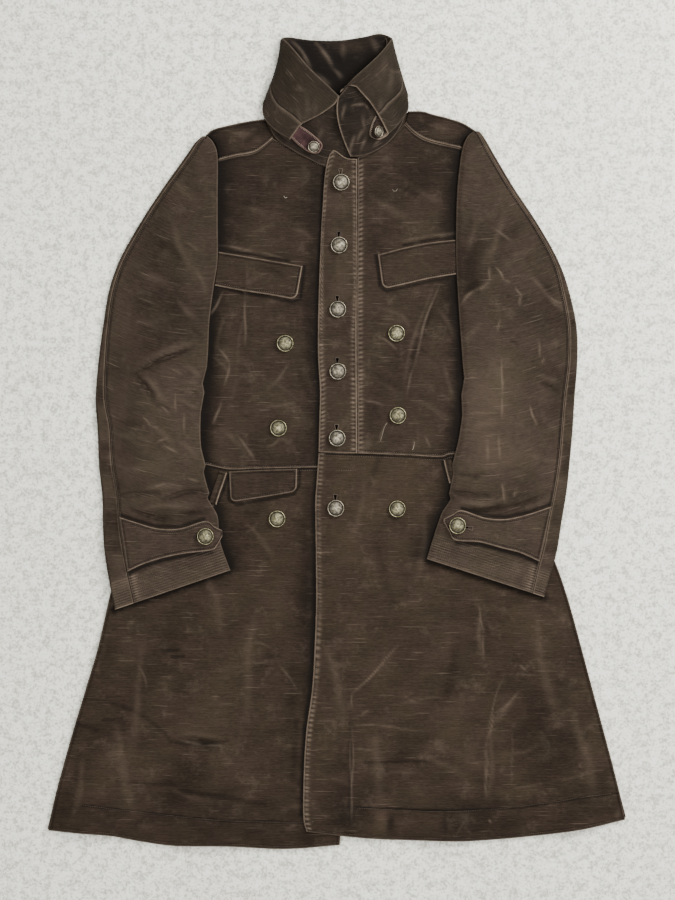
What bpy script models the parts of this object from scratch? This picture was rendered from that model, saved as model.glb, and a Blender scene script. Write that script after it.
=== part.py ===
"""Double-breasted long coat, laid on its back with the sleeves beside it.

X runs to the wearer's left, Y towards the collar, Z up off the floor. The tables are
in millimetres, seen from above; the model is in metres.
"""

import math

import bmesh
import bpy

MM = 0.001

# Cloth walls and the gaps between layers, in millimetres
WALL = 2.0
FALL_WALL = 2.4
FLAP_WALL = 2.0
STRAP_WALL = 1.8
WELT_WALL = 1.5
SEAM = 0.6
LAP = 0.7

# Heights of the undersides of the layers
BACK_Z = 0.0
FRONT_Z = 2.4
OVERLAP_RISE = 2.6
NECK_RISE = 3.4
SLEEVE_Z = 5.4

# Where the over front comes down off the under front, and where it rises to the neck
STEP_START, STEP_END = 40.0, 85.0
RISE_START, RISE_END = 365.0, 410.0

# Sleeve, as a flattened tube
SLEEVE_GAP = 1.6
SLEEVE_LOFT = 1.4
SLEEVE_TURN = WALL + SLEEVE_GAP / 2
SLEEVE_ROWS = 32
LEDGE, RAMP_END = 12.0, 60.0

BUTTON_RADIUS = 12.6
STRAP_BUTTON_RADIUS = 8.6
BUTTON_SIDES = 14

# Button profile from the back's middle round the rim to the dome: radius, height,
# both as shares of the button's radius
BUTTON_PROFILE = [(0.0, 0.0), (0.62, 0.0), (1.0, 0.12), (1.0, 0.26), (0.84, 0.34),
                  (0.70, 0.24), (0.0, 0.36)]

# Half widths of the body at the side seams and armholes: y, wearer's right, wearer's left
SIDES = [
    (466, 197, 208),
    (459, 195, 200),
    (452, 187, 193),
    (445, 182, 189),
    (438, 180, 188),
    (425, 178, 186),
    (330, 190, 191),
    (214, 247, 250),
    (90, 252, 254),
    (-32, 257, 259),
    (-118, 302, 304),
    (-224, 338, 344),
    (-316, 359, 369),
    (-395, 383, 391),
    (-469, 405, 412),
    (-533, 422, 426),
    (-583, 433, 434),
]

# Edges of the panels, each from the wearer's right to the wearer's left: x, y
RIGHT_NECK_EDGE = [(-178, 421), (-150, 428), (-121, 434), (-95, 454),
                   (-67, 440), (-43, 427), (-18, 416), (26, 411)]
RIGHT_WAIST = [(-257, -41), (-215, -37), (-197, -35), (-161, -42),
               (-123, -41), (-75, -40), (-31, -39), (28, -39)]
RIGHT_HEM = [(-432, -583), (-390, -587), (-341, -591), (-298, -599),
             (-246, -606), (-169, -607), (-77, -611), (5, -605)]
LEFT_NECK_EDGE = [(31.6, 428), (45, 431), (62, 440), (80, 453),
                  (102, 476), (118, 461), (140, 450), (188, 439)]
LEFT_WAIST = [(31.6, -18), (60, -19), (85, -20), (110, -21),
              (140, -23), (159, -23), (178, -19), (258, -24)]
LEFT_SKIRT_TOP = [(-27, -17), (0, -18), (31, -19), (85, -21),
                  (140, -24), (159, -24), (178, -20), (258, -25)]
LEFT_HEM = [(-45, -585), (5, -591), (60, -596), (125, -598),
            (200, -598), (290, -588), (370, -578), (433, -566)]
PLACKET_TOP = [(-10, 431), (-3, 436), (14, 424), (31, 418)]
PLACKET_FOOT = [(-27, -16), (-8, -17), (11, -18), (31, -18)]
PLACKET_EDGE = [(-10, 431), (-14, 419), (-18, 395), (-21, 350), (-23, 317),
                (-27, 214), (-28, 134), (-25, 77), (-26, 30), (-27, -16)]
SKIRT_EDGE = [(-27, -17), (-30, -60), (-32, -95), (-31, -178), (-31, -254),
              (-36, -362), (-45, -430), (-49, -490), (-50, -560), (-45, -585)]
RIGHT_SHOULDER = [(-196, 459), (-184, 468), (-161, 474), (-143, 478), (-126, 481),
                  (-108, 483)]
LEFT_SHOULDER = [(107, 495), (128, 495), (146, 490), (166, 485), (190, 477), (208, 466)]
BACK_TOP = [(-196, 459), (-178, 469), (-143, 477), (-108, 482), (-60, 485), (0, 484),
            (60, 488), (108, 493), (146, 489), (184, 478), (208, 466)]
BACK_WAIST = [(-257, -32), (-190, -31), (-125, -31), (-60, -31), (0, -31),
              (60, -31), (125, -31), (190, -31), (259, -32)]
BACK_HEM = [(-433, -581), (-330, -586), (-220, -590), (-110, -592), (0, -592),
            (110, -590), (220, -584), (330, -575), (434, -563)]

# Rows of the neck edges where the yoke seam meets the neck, and columns of the fronts
RIGHT_NECK_POINT, LEFT_NECK_POINT = 3, 4
FRONT_COLUMNS = 14
RIGHT_YOKE_COLUMNS, LEFT_YOKE_COLUMNS = (0, 6), (8, 14)

# Sleeve sections: inner x, inner y, outer x, outer y, width of the under sleeve that shows
RIGHT_SLEEVE = [
    (-193, 457, -201, 457, 4),
    (-184, 447, -212, 447, 5),
    (-178, 427, -226, 427, 6),
    (-178, 372, -262, 374, 6),
    (-178, 322, -298, 321, 6),
    (-178, 272, -325, 272, 6),
    (-184, 230, -341, 226, 6),
    (-190, 183, -350, 172, 7),
    (-193, 130, -355, 118, 10),
    (-197, 85, -359, 64, 13),
    (-201, 45, -355, 15, 18),
    (-203, 0, -354, -35, 19),
    (-198, -45, -351, -85, 22),
    (-190, -82, -350, -130, 25),
    (-178, -112, -347, -170, 28),
    (-174, -150, -340, -212, 29),
    (-159, -193, -332, -252, 30),
]
LEFT_SLEEVE = [
    (206, 465, 214, 464, 4),
    (195, 455, 222, 454, 5),
    (187, 432, 235, 432, 6),
    (181, 380, 266, 380, 6),
    (179, 324, 303, 324, 6),
    (179, 272, 332, 272, 6),
    (181, 230, 348, 228, 9),
    (184, 183, 358, 172, 11),
    (187, 132, 359, 118, 12),
    (188, 84, 357, 66, 14),
    (186, 40, 354, 18, 15),
    (182, 0, 350, -28, 15),
    (174, -45, 345, -75, 17),
    (168, -82, 337, -122, 19),
    (157, -108, 331, -160, 20),
    (146, -140, 322, -195, 20),
    (135, -176, 311, -233, 18),
]

# Largest folds, as soft ridges: start x, start y, end x, end y, height, half width
SLEEVE_FOLDS = [
    (-325, 118, -225, 148, 3.5, 24),
    (-345, -62, -215, -50, 5.0, 17),
    (-340, -105, -215, -92, 4.0, 15),
    (-250, 330, -215, 210, 3.0, 26),
    (-300, 20, -230, 60, 2.5, 24),
    (335, 150, 240, 120, 3.5, 24),
    (330, -55, 200, -52, 4.5, 17),
    (320, -92, 205, -84, 3.0, 14),
    (250, 340, 215, 215, 3.0, 26),
    (320, 30, 240, 55, 2.5, 24),
]
SKIRT_FOLDS = [
    (-320, -330, -375, -590, 7.0, 34),
    (-175, -310, -200, -600, 5.0, 36),
    (145, -300, 160, -595, 5.0, 36),
    (315, -320, 360, -590, 7.0, 34),
]

# Collar sections from the under front edge round the back to the over front edge.
# Each is the middle of the wall at the seam, half way and at the fold: x, y, z
STAND = [
    (24, 409, 5.8, 16, 462, 9.0, 8, 511, 18),
    (-18, 413, 5.8, -13, 468, 10, -6, 522, 19),
    (-43, 424, 5.8, -38, 482, 11, -30, 544, 19),
    (-67, 437, 5.8, -61, 500, 11, -51, 566, 18),
    (-93, 457, 5.9, -80, 522, 10, -66, 586, 14),
    (-102, 488, 5.6, -86, 544, 7.0, -72, 596, 9.0),
    (-88, 490, 4.6, -75, 546, 4.9, -63, 599, 5.6),
    (-45, 486, 3.5, -42, 544, 3.9, -38, 598, 4.2),
    (0, 483, 3.5, 0, 543, 3.9, 0, 598, 4.2),
    (45, 487, 3.5, 42, 546, 3.9, 38, 600, 4.2),
    (88, 493, 4.6, 76, 550, 4.9, 63, 602, 5.6),
    (104, 498, 5.6, 88, 548, 7.5, 72, 596, 10),
    (97, 474, 6.2, 85, 524, 11, 69, 581, 18),
    (79, 449, 7.6, 70, 506, 14, 52, 564, 22),
    (57, 434, 10, 46, 490, 17, 33, 546, 24),
    (38, 427, 12, 24, 484, 18, 17, 531, 24),
    (21, 426, 12, 2, 478, 18, 3, 514, 24),
]
FALL = [
    (5, 517, 22.4, -31, 487, 19.4, -75, 450, 13),
    (-17, 536, 23, -52, 504, 18.6, -91, 464, 11.4),
    (-42, 560, 23, -76, 522, 16, -106, 480, 9.0),
    (-62, 584, 21, -88, 543, 14, -111, 497, 8.6),
    (-75, 599, 16, -88, 560, 11, -108, 513, 7.4),
    (-79, 602, 8.8, -89, 566, 6.2, -104, 522, 4.6),
    (-71, 604, 2.8, -81, 554, 2.0, -92, 502, 1.9),
    (-40, 602, 1.5, -45, 550, 1.3, -50, 494, 1.3),
    (0, 602, 1.5, 0, 548, 1.3, 0, 493, 1.3),
    (40, 605, 1.5, 45, 552, 1.3, 52, 496, 1.3),
    (70, 609, 2.8, 82, 561, 2.0, 93, 507, 1.9),
    (79, 604, 9.6, 91, 566, 6.8, 105, 521, 4.8),
    (78, 600, 18, 91, 562, 12, 107, 509, 7.6),
    (66, 581, 23, 88, 544, 16, 107, 496, 9.0),
    (48, 563, 26, 72, 528, 20, 97, 480, 10),
    (24, 541, 28, 56, 517, 24.4, 87, 468, 14.5),
    (5, 519, 28, 43, 509, 25, 76, 459, 16.5),
]

# Flaps, tabs and straps: top edge, then bottom edge, each from right to left: x, y
RIGHT_CHEST_FLAP = [[(-175, 284), (-133, 277), (-92, 270), (-51, 263)],
                    [(-179, 233), (-143, 226), (-103, 220), (-64, 214)]]
LEFT_CHEST_FLAP = [[(62, 280), (100, 290), (140, 298), (176, 302)],
                   [(72, 230), (105, 237), (140, 244), (177, 250)]]
RIGHT_HIP_FLAP = [[(-161, -45), (-127, -43), (-93, -42), (-59, -41)],
                  [(-156, -89), (-125, -85), (-94, -81), (-64, -76)]]
RIGHT_CUFF_TAB = [[(-325, -113), (-303, -120), (-268, -130), (-234, -130),
                   (-197, -119), (-183, -127), (-169, -134)],
                  [(-313, -195), (-292, -185), (-262, -175), (-228, -168),
                   (-188, -163), (-179, -156), (-169, -138)]]
LEFT_CUFF_TAB = [[(160, -116), (174, -109), (188, -103), (222, -114),
                  (253, -116), (286, -109), (322, -97)],
                 [(160, -120), (169, -135), (178, -148), (214, -151),
                  (248, -160), (275, -167), (304, -180)]]
RIGHT_WELT = [[(-165, -50), (-169, -65), (-173, -79), (-177, -91)],
              [(-171, -50), (-175, -64), (-179, -78), (-183, -90)]]
LEFT_WELT = [[(161, -28), (163, -40), (165, -51), (167, -62)],
             [(155, -29), (157, -41), (159, -52), (161, -63)]]
RIGHT_STRAP = [[(-58, 475), (-43, 467), (-31, 459), (-20, 444)],
               [(-69, 458), (-54, 443), (-41, 434), (-27, 432)]]
LEFT_STRAP = [[(65, 486), (71, 472), (74, 461), (65, 449)],
              [(59, 486), (52, 471), (50, 459), (58, 449)]]

# Buttons: x, y on the cloth
CENTRE_BUTTONS = [(7, 388), (4, 294), (2, 198), (2, 105), (1, 5), (-1, -100)]
RIGHT_SIDE_BUTTONS = [(-77, 147), (-87, 20), (-89, -116)]
LEFT_SIDE_BUTTONS = [(90, 162), (92, 39), (91, -101)]
CUFF_BUTTONS = {"right": (-196, -142), "left": (181, -126)}
STRAP_BUTTONS = {"right": (-35, 447), "left": (61, 465)}


def clear_scene():
    for old in list(bpy.data.objects):
        bpy.data.objects.remove(old, do_unlink=True)


def material(name, colour, roughness, metallic=0.0):
    made = bpy.data.materials.new(name)
    made.use_nodes = True
    shader = made.node_tree.nodes["Principled BSDF"]
    shader.inputs["Base Color"].default_value = (*colour, 1.0)
    shader.inputs["Roughness"].default_value = roughness
    shader.inputs["Metallic"].default_value = metallic
    return made


def smooth(value):
    value = min(1.0, max(0.0, value))
    return value * value * (3 - 2 * value)


def along(points, t, corner=None):
    """The point at t, 0 to 1, on a smooth curve through the rows; a corner row stays sharp."""
    spans = len(points) - 1
    at = min(spans - 1, int(t * spans))
    f = t * spans - at
    before = points[at] if at == 0 or at == corner else points[at - 1]
    after = points[at + 1] if at + 1 == spans or at + 1 == corner else points[at + 2]
    found = []
    for a, b, c, d in zip(before, points[at], points[at + 1], after):
        enter = (c - a) / 2 if before != points[at] else c - b
        leave = (d - b) / 2 if after != points[at + 1] else c - b
        found.append((2 * f**3 - 3 * f**2 + 1) * b + (f**3 - 2 * f**2 + f) * enter
                     + (3 * f**2 - 2 * f**3) * c + (f**3 - f**2) * leave)
    return found


def side_x(y, side):
    """Half width of the body at this height on the coat."""
    column = 1 if side == "right" else 2
    rows = SIDES
    if y >= rows[0][0]:
        return rows[0][column]
    for upper, lower in zip(rows, rows[1:]):
        if y >= lower[0]:
            f = (upper[0] - y) / (upper[0] - lower[0])
            return upper[column] + f * (lower[column] - upper[column])
    return rows[-1][column]


def side_edge(top, bottom, side):
    """The side seam from one height to another, as rows of an edge."""
    sign = -1 if side == "right" else 1
    steps = 12
    heights = [top + (bottom - top) * i / steps for i in range(steps + 1)]
    return [(sign * side_x(y, side), y) for y in heights]


def ridge(x, y, folds):
    """Height that the soft folds add at a point."""
    total = 0.0
    for x0, y0, x1, y1, height, width in folds:
        dx, dy = x1 - x0, y1 - y0
        f = ((x - x0) * dx + (y - y0) * dy) / (dx * dx + dy * dy)
        f = min(1.0, max(0.0, f))
        away = math.hypot(x - x0 - f * dx, y - y0 - f * dy)
        total += height * smooth(1 - away / (2 * width))
    return total


def front_under(x, y):
    """Underside of the front panels where they lie on the back."""
    return FRONT_Z + ridge(x, y, SKIRT_FOLDS)


def over_under(x, y):
    """Underside of the over front: up on the under front, then down onto the back."""
    step = 1 - min(1.0, max(0.0, (x - STEP_START) / (STEP_END - STEP_START)))
    rise = min(1.0, max(0.0, (y - RISE_START) / (RISE_END - RISE_START)))
    return FRONT_Z + step * (OVERLAP_RISE + rise * NECK_RISE) + ridge(x, y, SKIRT_FOLDS)


def on_under_front(x, y):
    return front_under(x, y) + WALL


def on_over_front(x, y):
    return over_under(x, y) + WALL


def on_back(x, y):
    return BACK_Z


def sleeve_under(x, y):
    """Underside of a sleeve: on the body, then down to the floor outside the side seam."""
    side = "right" if x < 0 else "left"
    outside = abs(x) - side_x(y, side)
    down = min(1.0, max(0.0, (outside - LEDGE) / (RAMP_END - LEDGE)))
    return SLEEVE_Z * (1 - down)


def sleeve_top(x, y):
    """Top of the upper sleeve, for what is sewn on it."""
    inside = sleeve_under(x, y) + 2 * WALL + SLEEVE_GAP
    return inside + SLEEVE_LOFT + ridge(x, y, SLEEVE_FOLDS)


def sheet_mesh(name, rows):
    """A plain surface through rows of points in millimetres, faces up for rows read downwards."""
    mesh = bpy.data.meshes.new(name)
    form = bmesh.new()
    grid = [[form.verts.new([value * MM for value in point]) for point in row] for row in rows]
    for upper, lower in zip(grid, grid[1:]):
        for i in range(len(upper) - 1):
            form.faces.new((upper[i], lower[i], lower[i + 1], upper[i + 1]))
    form.to_mesh(mesh)
    form.free()
    return mesh


def cloth(name, rows, wall, finish, offset=1.0):
    """A cloth piece: the surface thickened to a wall, above it when offset is 1."""
    piece = bpy.data.objects.new(name, sheet_mesh(name, rows))
    bpy.context.scene.collection.objects.link(piece)
    piece.data.materials.append(finish)
    shell = piece.modifiers.new("wall", "SOLIDIFY")
    shell.thickness = wall * MM
    shell.offset = offset
    return piece


def patch(top, bottom, first, last, columns, rows, corner=None):
    """Points of a panel between its four edges; first and last run from top to bottom."""
    first = [top[0], *first[1:-1], bottom[0]]
    last = [top[-1], *last[1:-1], bottom[-1]]
    found = []
    for j in range(rows + 1):
        v = j / rows
        a = along(first, v)
        b = along(last, v)
        row = []
        for i in range(columns + 1):
            u = i / columns
            t = along(top, u, corner)
            s = along(bottom, u)
            point = []
            for k in range(2):
                flat = ((1 - u) * (1 - v) * top[0][k] + u * (1 - v) * top[-1][k]
                        + (1 - u) * v * bottom[0][k] + u * v * bottom[-1][k])
                point.append((1 - v) * t[k] + v * s[k] + (1 - u) * a[k] + u * b[k] - flat)
            row.append(point)
        found.append(row)
    return found


def laid(points, under):
    """The panel's points at the height of what they lie on."""
    return [[(x, y, under(x, y)) for x, y in row] for row in points]


def lowered(points, gap=SEAM):
    """An edge moved down the coat by a seam's gap."""
    return [(x, y - gap) for x, y in points]


def make_back(finish):
    right = side_edge(459, -32, "right")
    left = side_edge(466, -32, "left")
    bodice = patch(BACK_TOP, BACK_WAIST, right, left, 10, 8)
    cloth("back_bodice", laid(bodice, on_back), WALL, finish)
    right = side_edge(-32 - SEAM, -581, "right")
    left = side_edge(-32 - SEAM, -563, "left")
    skirt = patch(lowered(BACK_WAIST), BACK_HEM, right, left, 8, 8)
    cloth("back_skirt", laid(skirt, on_back), WALL, finish)


def make_under_front(finish):
    outer = side_edge(421, -41, "right")
    inner = [(26, 411), (28, 200), (28, -39)]
    bodice = patch(RIGHT_NECK_EDGE, RIGHT_WAIST, outer, inner, FRONT_COLUMNS, 10,
                   corner=RIGHT_NECK_POINT)
    cloth("right_front_bodice", laid(bodice, front_under), WALL, finish)
    outer = side_edge(-41 - SEAM, -583, "right")
    inner = [(28, -39 - SEAM), (20, -300), (5, -605)]
    skirt = patch(lowered(RIGHT_WAIST), RIGHT_HEM, outer, inner, FRONT_COLUMNS, 16)
    cloth("right_front_skirt", laid(skirt, front_under), WALL, finish)


def make_over_front(finish):
    placket_seam = [(31, 415), (30, 200), (31, -18)]
    placket = patch(PLACKET_TOP, PLACKET_FOOT, PLACKET_EDGE, placket_seam, 3, 18)
    cloth("front_placket", laid(placket, over_under), WALL, finish)
    seam = [(31.6, 428), (30.6, 200), (31.6, -18)]
    outer = side_edge(439, -24, "left")
    bodice = patch(LEFT_NECK_EDGE, LEFT_WAIST, seam, outer, FRONT_COLUMNS, 12,
                   corner=LEFT_NECK_POINT)
    cloth("left_front_bodice", laid(bodice, over_under), WALL, finish)
    outer = side_edge(-25, -566, "left")
    skirt = patch(lowered(LEFT_SKIRT_TOP), LEFT_HEM, lowered(SKIRT_EDGE), outer,
                  FRONT_COLUMNS, 16)
    cloth("left_front_skirt", laid(skirt, over_under), WALL, finish)


def yoke_seam(edge, corner, columns):
    """The front's neck edge between two of its columns, moved up by the seam's gap."""
    found = []
    for i in range(columns[0], columns[1] + 1):
        x, y = along(edge, i / FRONT_COLUMNS, corner)
        found.append((x + (SEAM if x > 0 else 0), y + SEAM))
    return found


def make_yokes(finish):
    seam = yoke_seam(RIGHT_NECK_EDGE, RIGHT_NECK_POINT, RIGHT_YOKE_COLUMNS)
    right = patch(RIGHT_SHOULDER, seam, side_edge(459, 422, "right"),
                  [RIGHT_SHOULDER[-1], seam[-1]], 8, 4)
    cloth("right_yoke", laid(right, front_under), WALL, finish)
    seam = yoke_seam(LEFT_NECK_EDGE, LEFT_NECK_POINT, LEFT_YOKE_COLUMNS)
    left = patch(LEFT_SHOULDER, seam, [LEFT_SHOULDER[0], seam[0]],
                 side_edge(466, 440, "left"), 8, 4)
    cloth("left_yoke", laid(left, front_under), WALL, finish)


def sleeve_point(section, distance):
    """A point this far from the inner edge along a section, seen from above."""
    ix, iy, ox, oy = section[:4]
    f = distance / math.hypot(ox - ix, oy - iy)
    return ix + f * (ox - ix), iy + f * (oy - iy)


def under_sleeve_row(section):
    """The under sleeve in one section: along the bottom, round the outer edge, to the seam."""
    length = math.hypot(section[2] - section[0], section[3] - section[1])
    row = []
    spans = 5
    for i in range(spans):
        x, y = sleeve_point(section, (length - SLEEVE_TURN) * i / spans)
        row.append((x, y, sleeve_under(x, y)))
    x, y = sleeve_point(section, length)
    floor = sleeve_under(x, y)
    for step in range(5):
        angle = math.radians(-90 + 45 * step)
        x, y = sleeve_point(section, length - SLEEVE_TURN + SLEEVE_TURN * math.cos(angle))
        row.append((x, y, floor + SLEEVE_TURN * (1 + math.sin(angle))))
    strip = max(section[4], SLEEVE_TURN + 1)
    x, y = sleeve_point(section, length - strip)
    row.append((x, y, sleeve_under(x, y) + 2 * SLEEVE_TURN))
    return row


def upper_sleeve_row(section):
    """The upper sleeve in one section: from the hind-arm seam to the inner edge."""
    length = math.hypot(section[2] - section[0], section[3] - section[1])
    reach = length - max(section[4], SLEEVE_TURN + 1) - SEAM
    row = []
    spans = 6
    for i in range(spans + 1):
        distance = reach * (1 - i / spans)
        x, y = sleeve_point(section, distance)
        f = distance / length
        loft = SLEEVE_LOFT * math.sin(math.pi * f)
        folds = ridge(x, y, SLEEVE_FOLDS) * smooth(4 * f) * smooth(4 * (1 - f))
        row.append((x, y, sleeve_under(x, y) + WALL + SLEEVE_GAP + loft + folds))
    return row


def make_sleeve(side, table, upper_finish, under_finish):
    sections = [along(table, i / SLEEVE_ROWS) for i in range(SLEEVE_ROWS + 1)]
    under = [under_sleeve_row(section) for section in sections]
    upper = [upper_sleeve_row(section) for section in sections]
    if side == "left":
        under = [row[::-1] for row in under]
        upper = [row[::-1] for row in upper]
    cloth(f"{side}_under_sleeve", under, WALL, under_finish, offset=-1.0)
    cloth(f"{side}_upper_sleeve", upper, WALL, upper_finish)


def collar_rows(table, columns, rows):
    """Points of a collar piece from its sections, the rows running from seam to edge."""
    found = []
    for j in range(rows + 1):
        v = j / rows
        weights = ((1 - v) * (1 - 2 * v), 4 * v * (1 - v), v * (2 * v - 1))
        row = []
        for i in range(columns + 1):
            section = along(table, i / columns)
            row.append([sum(w * section[3 * n + k] for n, w in enumerate(weights))
                        for k in range(3)])
        found.append(row)
    return found


def make_collar(stand_finish, fall_finish):
    cloth("collar_stand", collar_rows(STAND, 32, 4), WALL, stand_finish, offset=0.0)
    cloth("collar_fall", collar_rows(FALL, 32, 4), FALL_WALL, fall_finish, offset=0.0)


def resting(points, x, y, reach=7.0):
    """Height of the highest of the points near x, y, for a strap that lies on them."""
    near = [p[2] for p in points if math.hypot(p[0] - x, p[1] - y) < reach]
    return max(near)


def sewn_on(name, edges, surface, columns, rows, wall, finish):
    """A flap or tab between two edges, lying on the panel's surface."""
    top, bottom = edges
    points = patch(top, bottom, [top[0], bottom[0]], [top[-1], bottom[-1]], columns, rows)
    lifted = laid(points, lambda x, y: surface(x, y) + LAP)
    return cloth(name, lifted, wall, finish)


def make_flaps(finish):
    sewn_on("right_chest_flap", RIGHT_CHEST_FLAP, on_under_front, 6, 3, FLAP_WALL, finish)
    sewn_on("left_chest_flap", LEFT_CHEST_FLAP, on_over_front, 6, 3, FLAP_WALL, finish)
    sewn_on("right_hip_flap", RIGHT_HIP_FLAP, on_under_front, 6, 3, FLAP_WALL, finish)
    sewn_on("right_pocket_welt", RIGHT_WELT, on_under_front, 3, 1, WELT_WALL, finish)
    sewn_on("left_pocket_welt", LEFT_WELT, on_over_front, 3, 1, WELT_WALL, finish)


def make_cuff_tabs(finish):
    sewn_on("right_cuff_tab", RIGHT_CUFF_TAB, sleeve_top, 12, 3, FLAP_WALL, finish)
    sewn_on("left_cuff_tab", LEFT_CUFF_TAB, sleeve_top, 12, 3, FLAP_WALL, finish)


def stand_front(side):
    """Fine points of one front half of the stand's wall."""
    half = STAND[:5] if side == "right" else STAND[12:]
    return [point for row in collar_rows(half, 40, 40) for point in row]


def make_strap(side, edges, finish, metal):
    points = stand_front(side)

    def on_stand(x, y):
        return resting(points, x, y) + WALL / 2

    sewn_on(f"{side}_collar_strap", edges, on_stand, 6, 3, STRAP_WALL, finish)
    x, y = STRAP_BUTTONS[side]
    reach = STRAP_BUTTON_RADIUS
    low, high = on_stand(x, y - reach), on_stand(x, y + reach)
    base = max(low, on_stand(x, y), high) + LAP + STRAP_WALL + SEAM / 2
    made = button(f"{side}_strap_button", x, y, base, STRAP_BUTTON_RADIUS, metal)
    made.rotation_euler.x = 0.5 * math.atan2(high - low, 2 * reach)


def button(name, x, y, base, radius, finish):
    """A domed button with a raised rim, turned about its own axis."""
    profile = [(across * radius, up * radius) for across, up in BUTTON_PROFILE]
    form = bmesh.new()
    rings = []
    for distance, height in profile[1:-1]:
        turns = [2 * math.pi * i / BUTTON_SIDES for i in range(BUTTON_SIDES)]
        rings.append([form.verts.new((distance * math.cos(a) * MM, distance * math.sin(a) * MM,
                                      height * MM)) for a in turns])
    ends = [form.verts.new((0, 0, profile[end][1] * MM)) for end in (0, -1)]
    for i in range(BUTTON_SIDES):
        k = (i + 1) % BUTTON_SIDES
        form.faces.new((ends[0], rings[0][k], rings[0][i]))
        for lower, upper in zip(rings, rings[1:]):
            form.faces.new((lower[i], lower[k], upper[k], upper[i]))
        form.faces.new((rings[-1][i], rings[-1][k], ends[1]))
    mesh = bpy.data.meshes.new(name)
    form.to_mesh(mesh)
    form.free()
    mesh.shade_smooth()
    piece = bpy.data.objects.new(name, mesh)
    piece.location = (x * MM, y * MM, base * MM)
    piece.data.materials.append(finish)
    bpy.context.scene.collection.objects.link(piece)
    return piece


def make_buttons(pewter, brass):
    for number, (x, y) in enumerate(CENTRE_BUTTONS, 1):
        base = on_over_front(x, y) + SEAM
        button(f"centre_button_{number}", x, y, base, BUTTON_RADIUS, pewter)
    for number, (x, y) in enumerate(RIGHT_SIDE_BUTTONS, 1):
        base = on_under_front(x, y) + SEAM
        button(f"right_side_button_{number}", x, y, base, BUTTON_RADIUS, brass)
    for number, (x, y) in enumerate(LEFT_SIDE_BUTTONS, 1):
        base = on_over_front(x, y) + SEAM
        button(f"left_side_button_{number}", x, y, base, BUTTON_RADIUS, brass)
    for side, (x, y) in CUFF_BUTTONS.items():
        base = sleeve_top(x, y) + LAP + FLAP_WALL + SEAM
        button(f"{side}_cuff_button", x, y, base, BUTTON_RADIUS, brass)


def main():
    clear_scene()
    body = material("brown_cloth", (0.055, 0.038, 0.027), 0.85)
    sleeve = material("worn_sleeve_cloth", (0.085, 0.066, 0.050), 0.85)
    dark = material("dark_collar_cloth", (0.030, 0.022, 0.017), 0.80)
    trim = material("flap_cloth", (0.070, 0.050, 0.036), 0.85)
    strap = material("strap_leather", (0.115, 0.075, 0.078), 0.60)
    pewter = material("pewter", (0.46, 0.43, 0.37), 0.38, 1.0)
    brass = material("old_brass", (0.42, 0.34, 0.18), 0.40, 1.0)
    make_back(body)
    make_under_front(body)
    make_over_front(body)
    make_yokes(body)
    make_sleeve("right", RIGHT_SLEEVE, sleeve, sleeve)
    make_sleeve("left", LEFT_SLEEVE, sleeve, sleeve)
    make_collar(dark, trim)
    make_flaps(trim)
    make_cuff_tabs(trim)
    make_strap("right", RIGHT_STRAP, strap, brass)
    make_strap("left", LEFT_STRAP, strap, brass)
    make_buttons(pewter, brass)


main()
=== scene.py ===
"""Double-breasted long coat laid flat: the finished surfaces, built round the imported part."""
import math

import bmesh
import bpy
import numpy as np
from mathutils import Matrix, Vector
from mathutils.bvhtree import BVHTree


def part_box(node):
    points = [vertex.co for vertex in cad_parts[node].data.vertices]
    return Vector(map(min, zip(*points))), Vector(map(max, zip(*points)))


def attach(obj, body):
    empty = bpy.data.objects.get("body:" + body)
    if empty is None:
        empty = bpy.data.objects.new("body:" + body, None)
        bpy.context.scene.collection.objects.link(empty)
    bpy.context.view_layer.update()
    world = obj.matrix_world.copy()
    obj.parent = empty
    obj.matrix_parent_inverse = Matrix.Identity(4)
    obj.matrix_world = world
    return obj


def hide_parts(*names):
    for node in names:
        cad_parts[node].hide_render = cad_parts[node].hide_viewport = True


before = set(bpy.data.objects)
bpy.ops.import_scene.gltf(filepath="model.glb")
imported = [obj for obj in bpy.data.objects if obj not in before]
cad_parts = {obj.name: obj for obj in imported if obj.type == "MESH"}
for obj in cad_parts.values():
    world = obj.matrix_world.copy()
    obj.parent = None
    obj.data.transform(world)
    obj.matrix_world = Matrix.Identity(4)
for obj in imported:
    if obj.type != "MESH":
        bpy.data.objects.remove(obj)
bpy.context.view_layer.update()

# The floor, the light and the camera. The coat lies on a pale felted floor and is seen
# from straight above, from far enough for a long lens. Tables are in millimetres.
MM = 0.001
CAMERA_HEIGHT = 5.0
VIEW_HEIGHT = 1.35
CAMERA_X, CAMERA_Y = 0.0015, -0.0128
SENSOR = 36.0

for old in [o for o in bpy.data.objects if o.type in ("CAMERA", "LIGHT")]:
    bpy.data.objects.remove(old, do_unlink=True)


def placed(name, data):
    """A new object that carries the data, linked into the scene."""
    made = bpy.data.objects.new(name, data)
    bpy.context.scene.collection.objects.link(made)
    return made


camera_data = bpy.data.cameras.new("camera")
camera_data.lens = SENSOR * CAMERA_HEIGHT / VIEW_HEIGHT
camera_data.sensor_width = SENSOR
camera_data.clip_end = 30.0
camera = placed("camera", camera_data)
camera.location = (CAMERA_X, CAMERA_Y, CAMERA_HEIGHT)
bpy.context.scene.camera = camera


def area_light(name, place, size, watts, colour):
    """A soft rectangular light aimed at the middle of the coat."""
    data = bpy.data.lights.new(name, "AREA")
    data.shape = "RECTANGLE"
    data.size, data.size_y = size
    data.energy = watts
    data.color = colour
    lamp = placed(name, data)
    lamp.location = place
    reach = math.hypot(place[0], place[1])
    turn = math.atan2(place[1], place[0]) + math.pi / 2
    lamp.rotation_euler = (math.atan2(reach, place[2]), 0, turn)


area_light("window", (1.7, 1.5, 1.6), (1.3, 1.0), 106, (1.0, 0.985, 0.93))
area_light("ceiling", (0.3, -0.3, 3.2), (3.0, 3.0), 92, (1.0, 0.995, 0.94))

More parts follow.
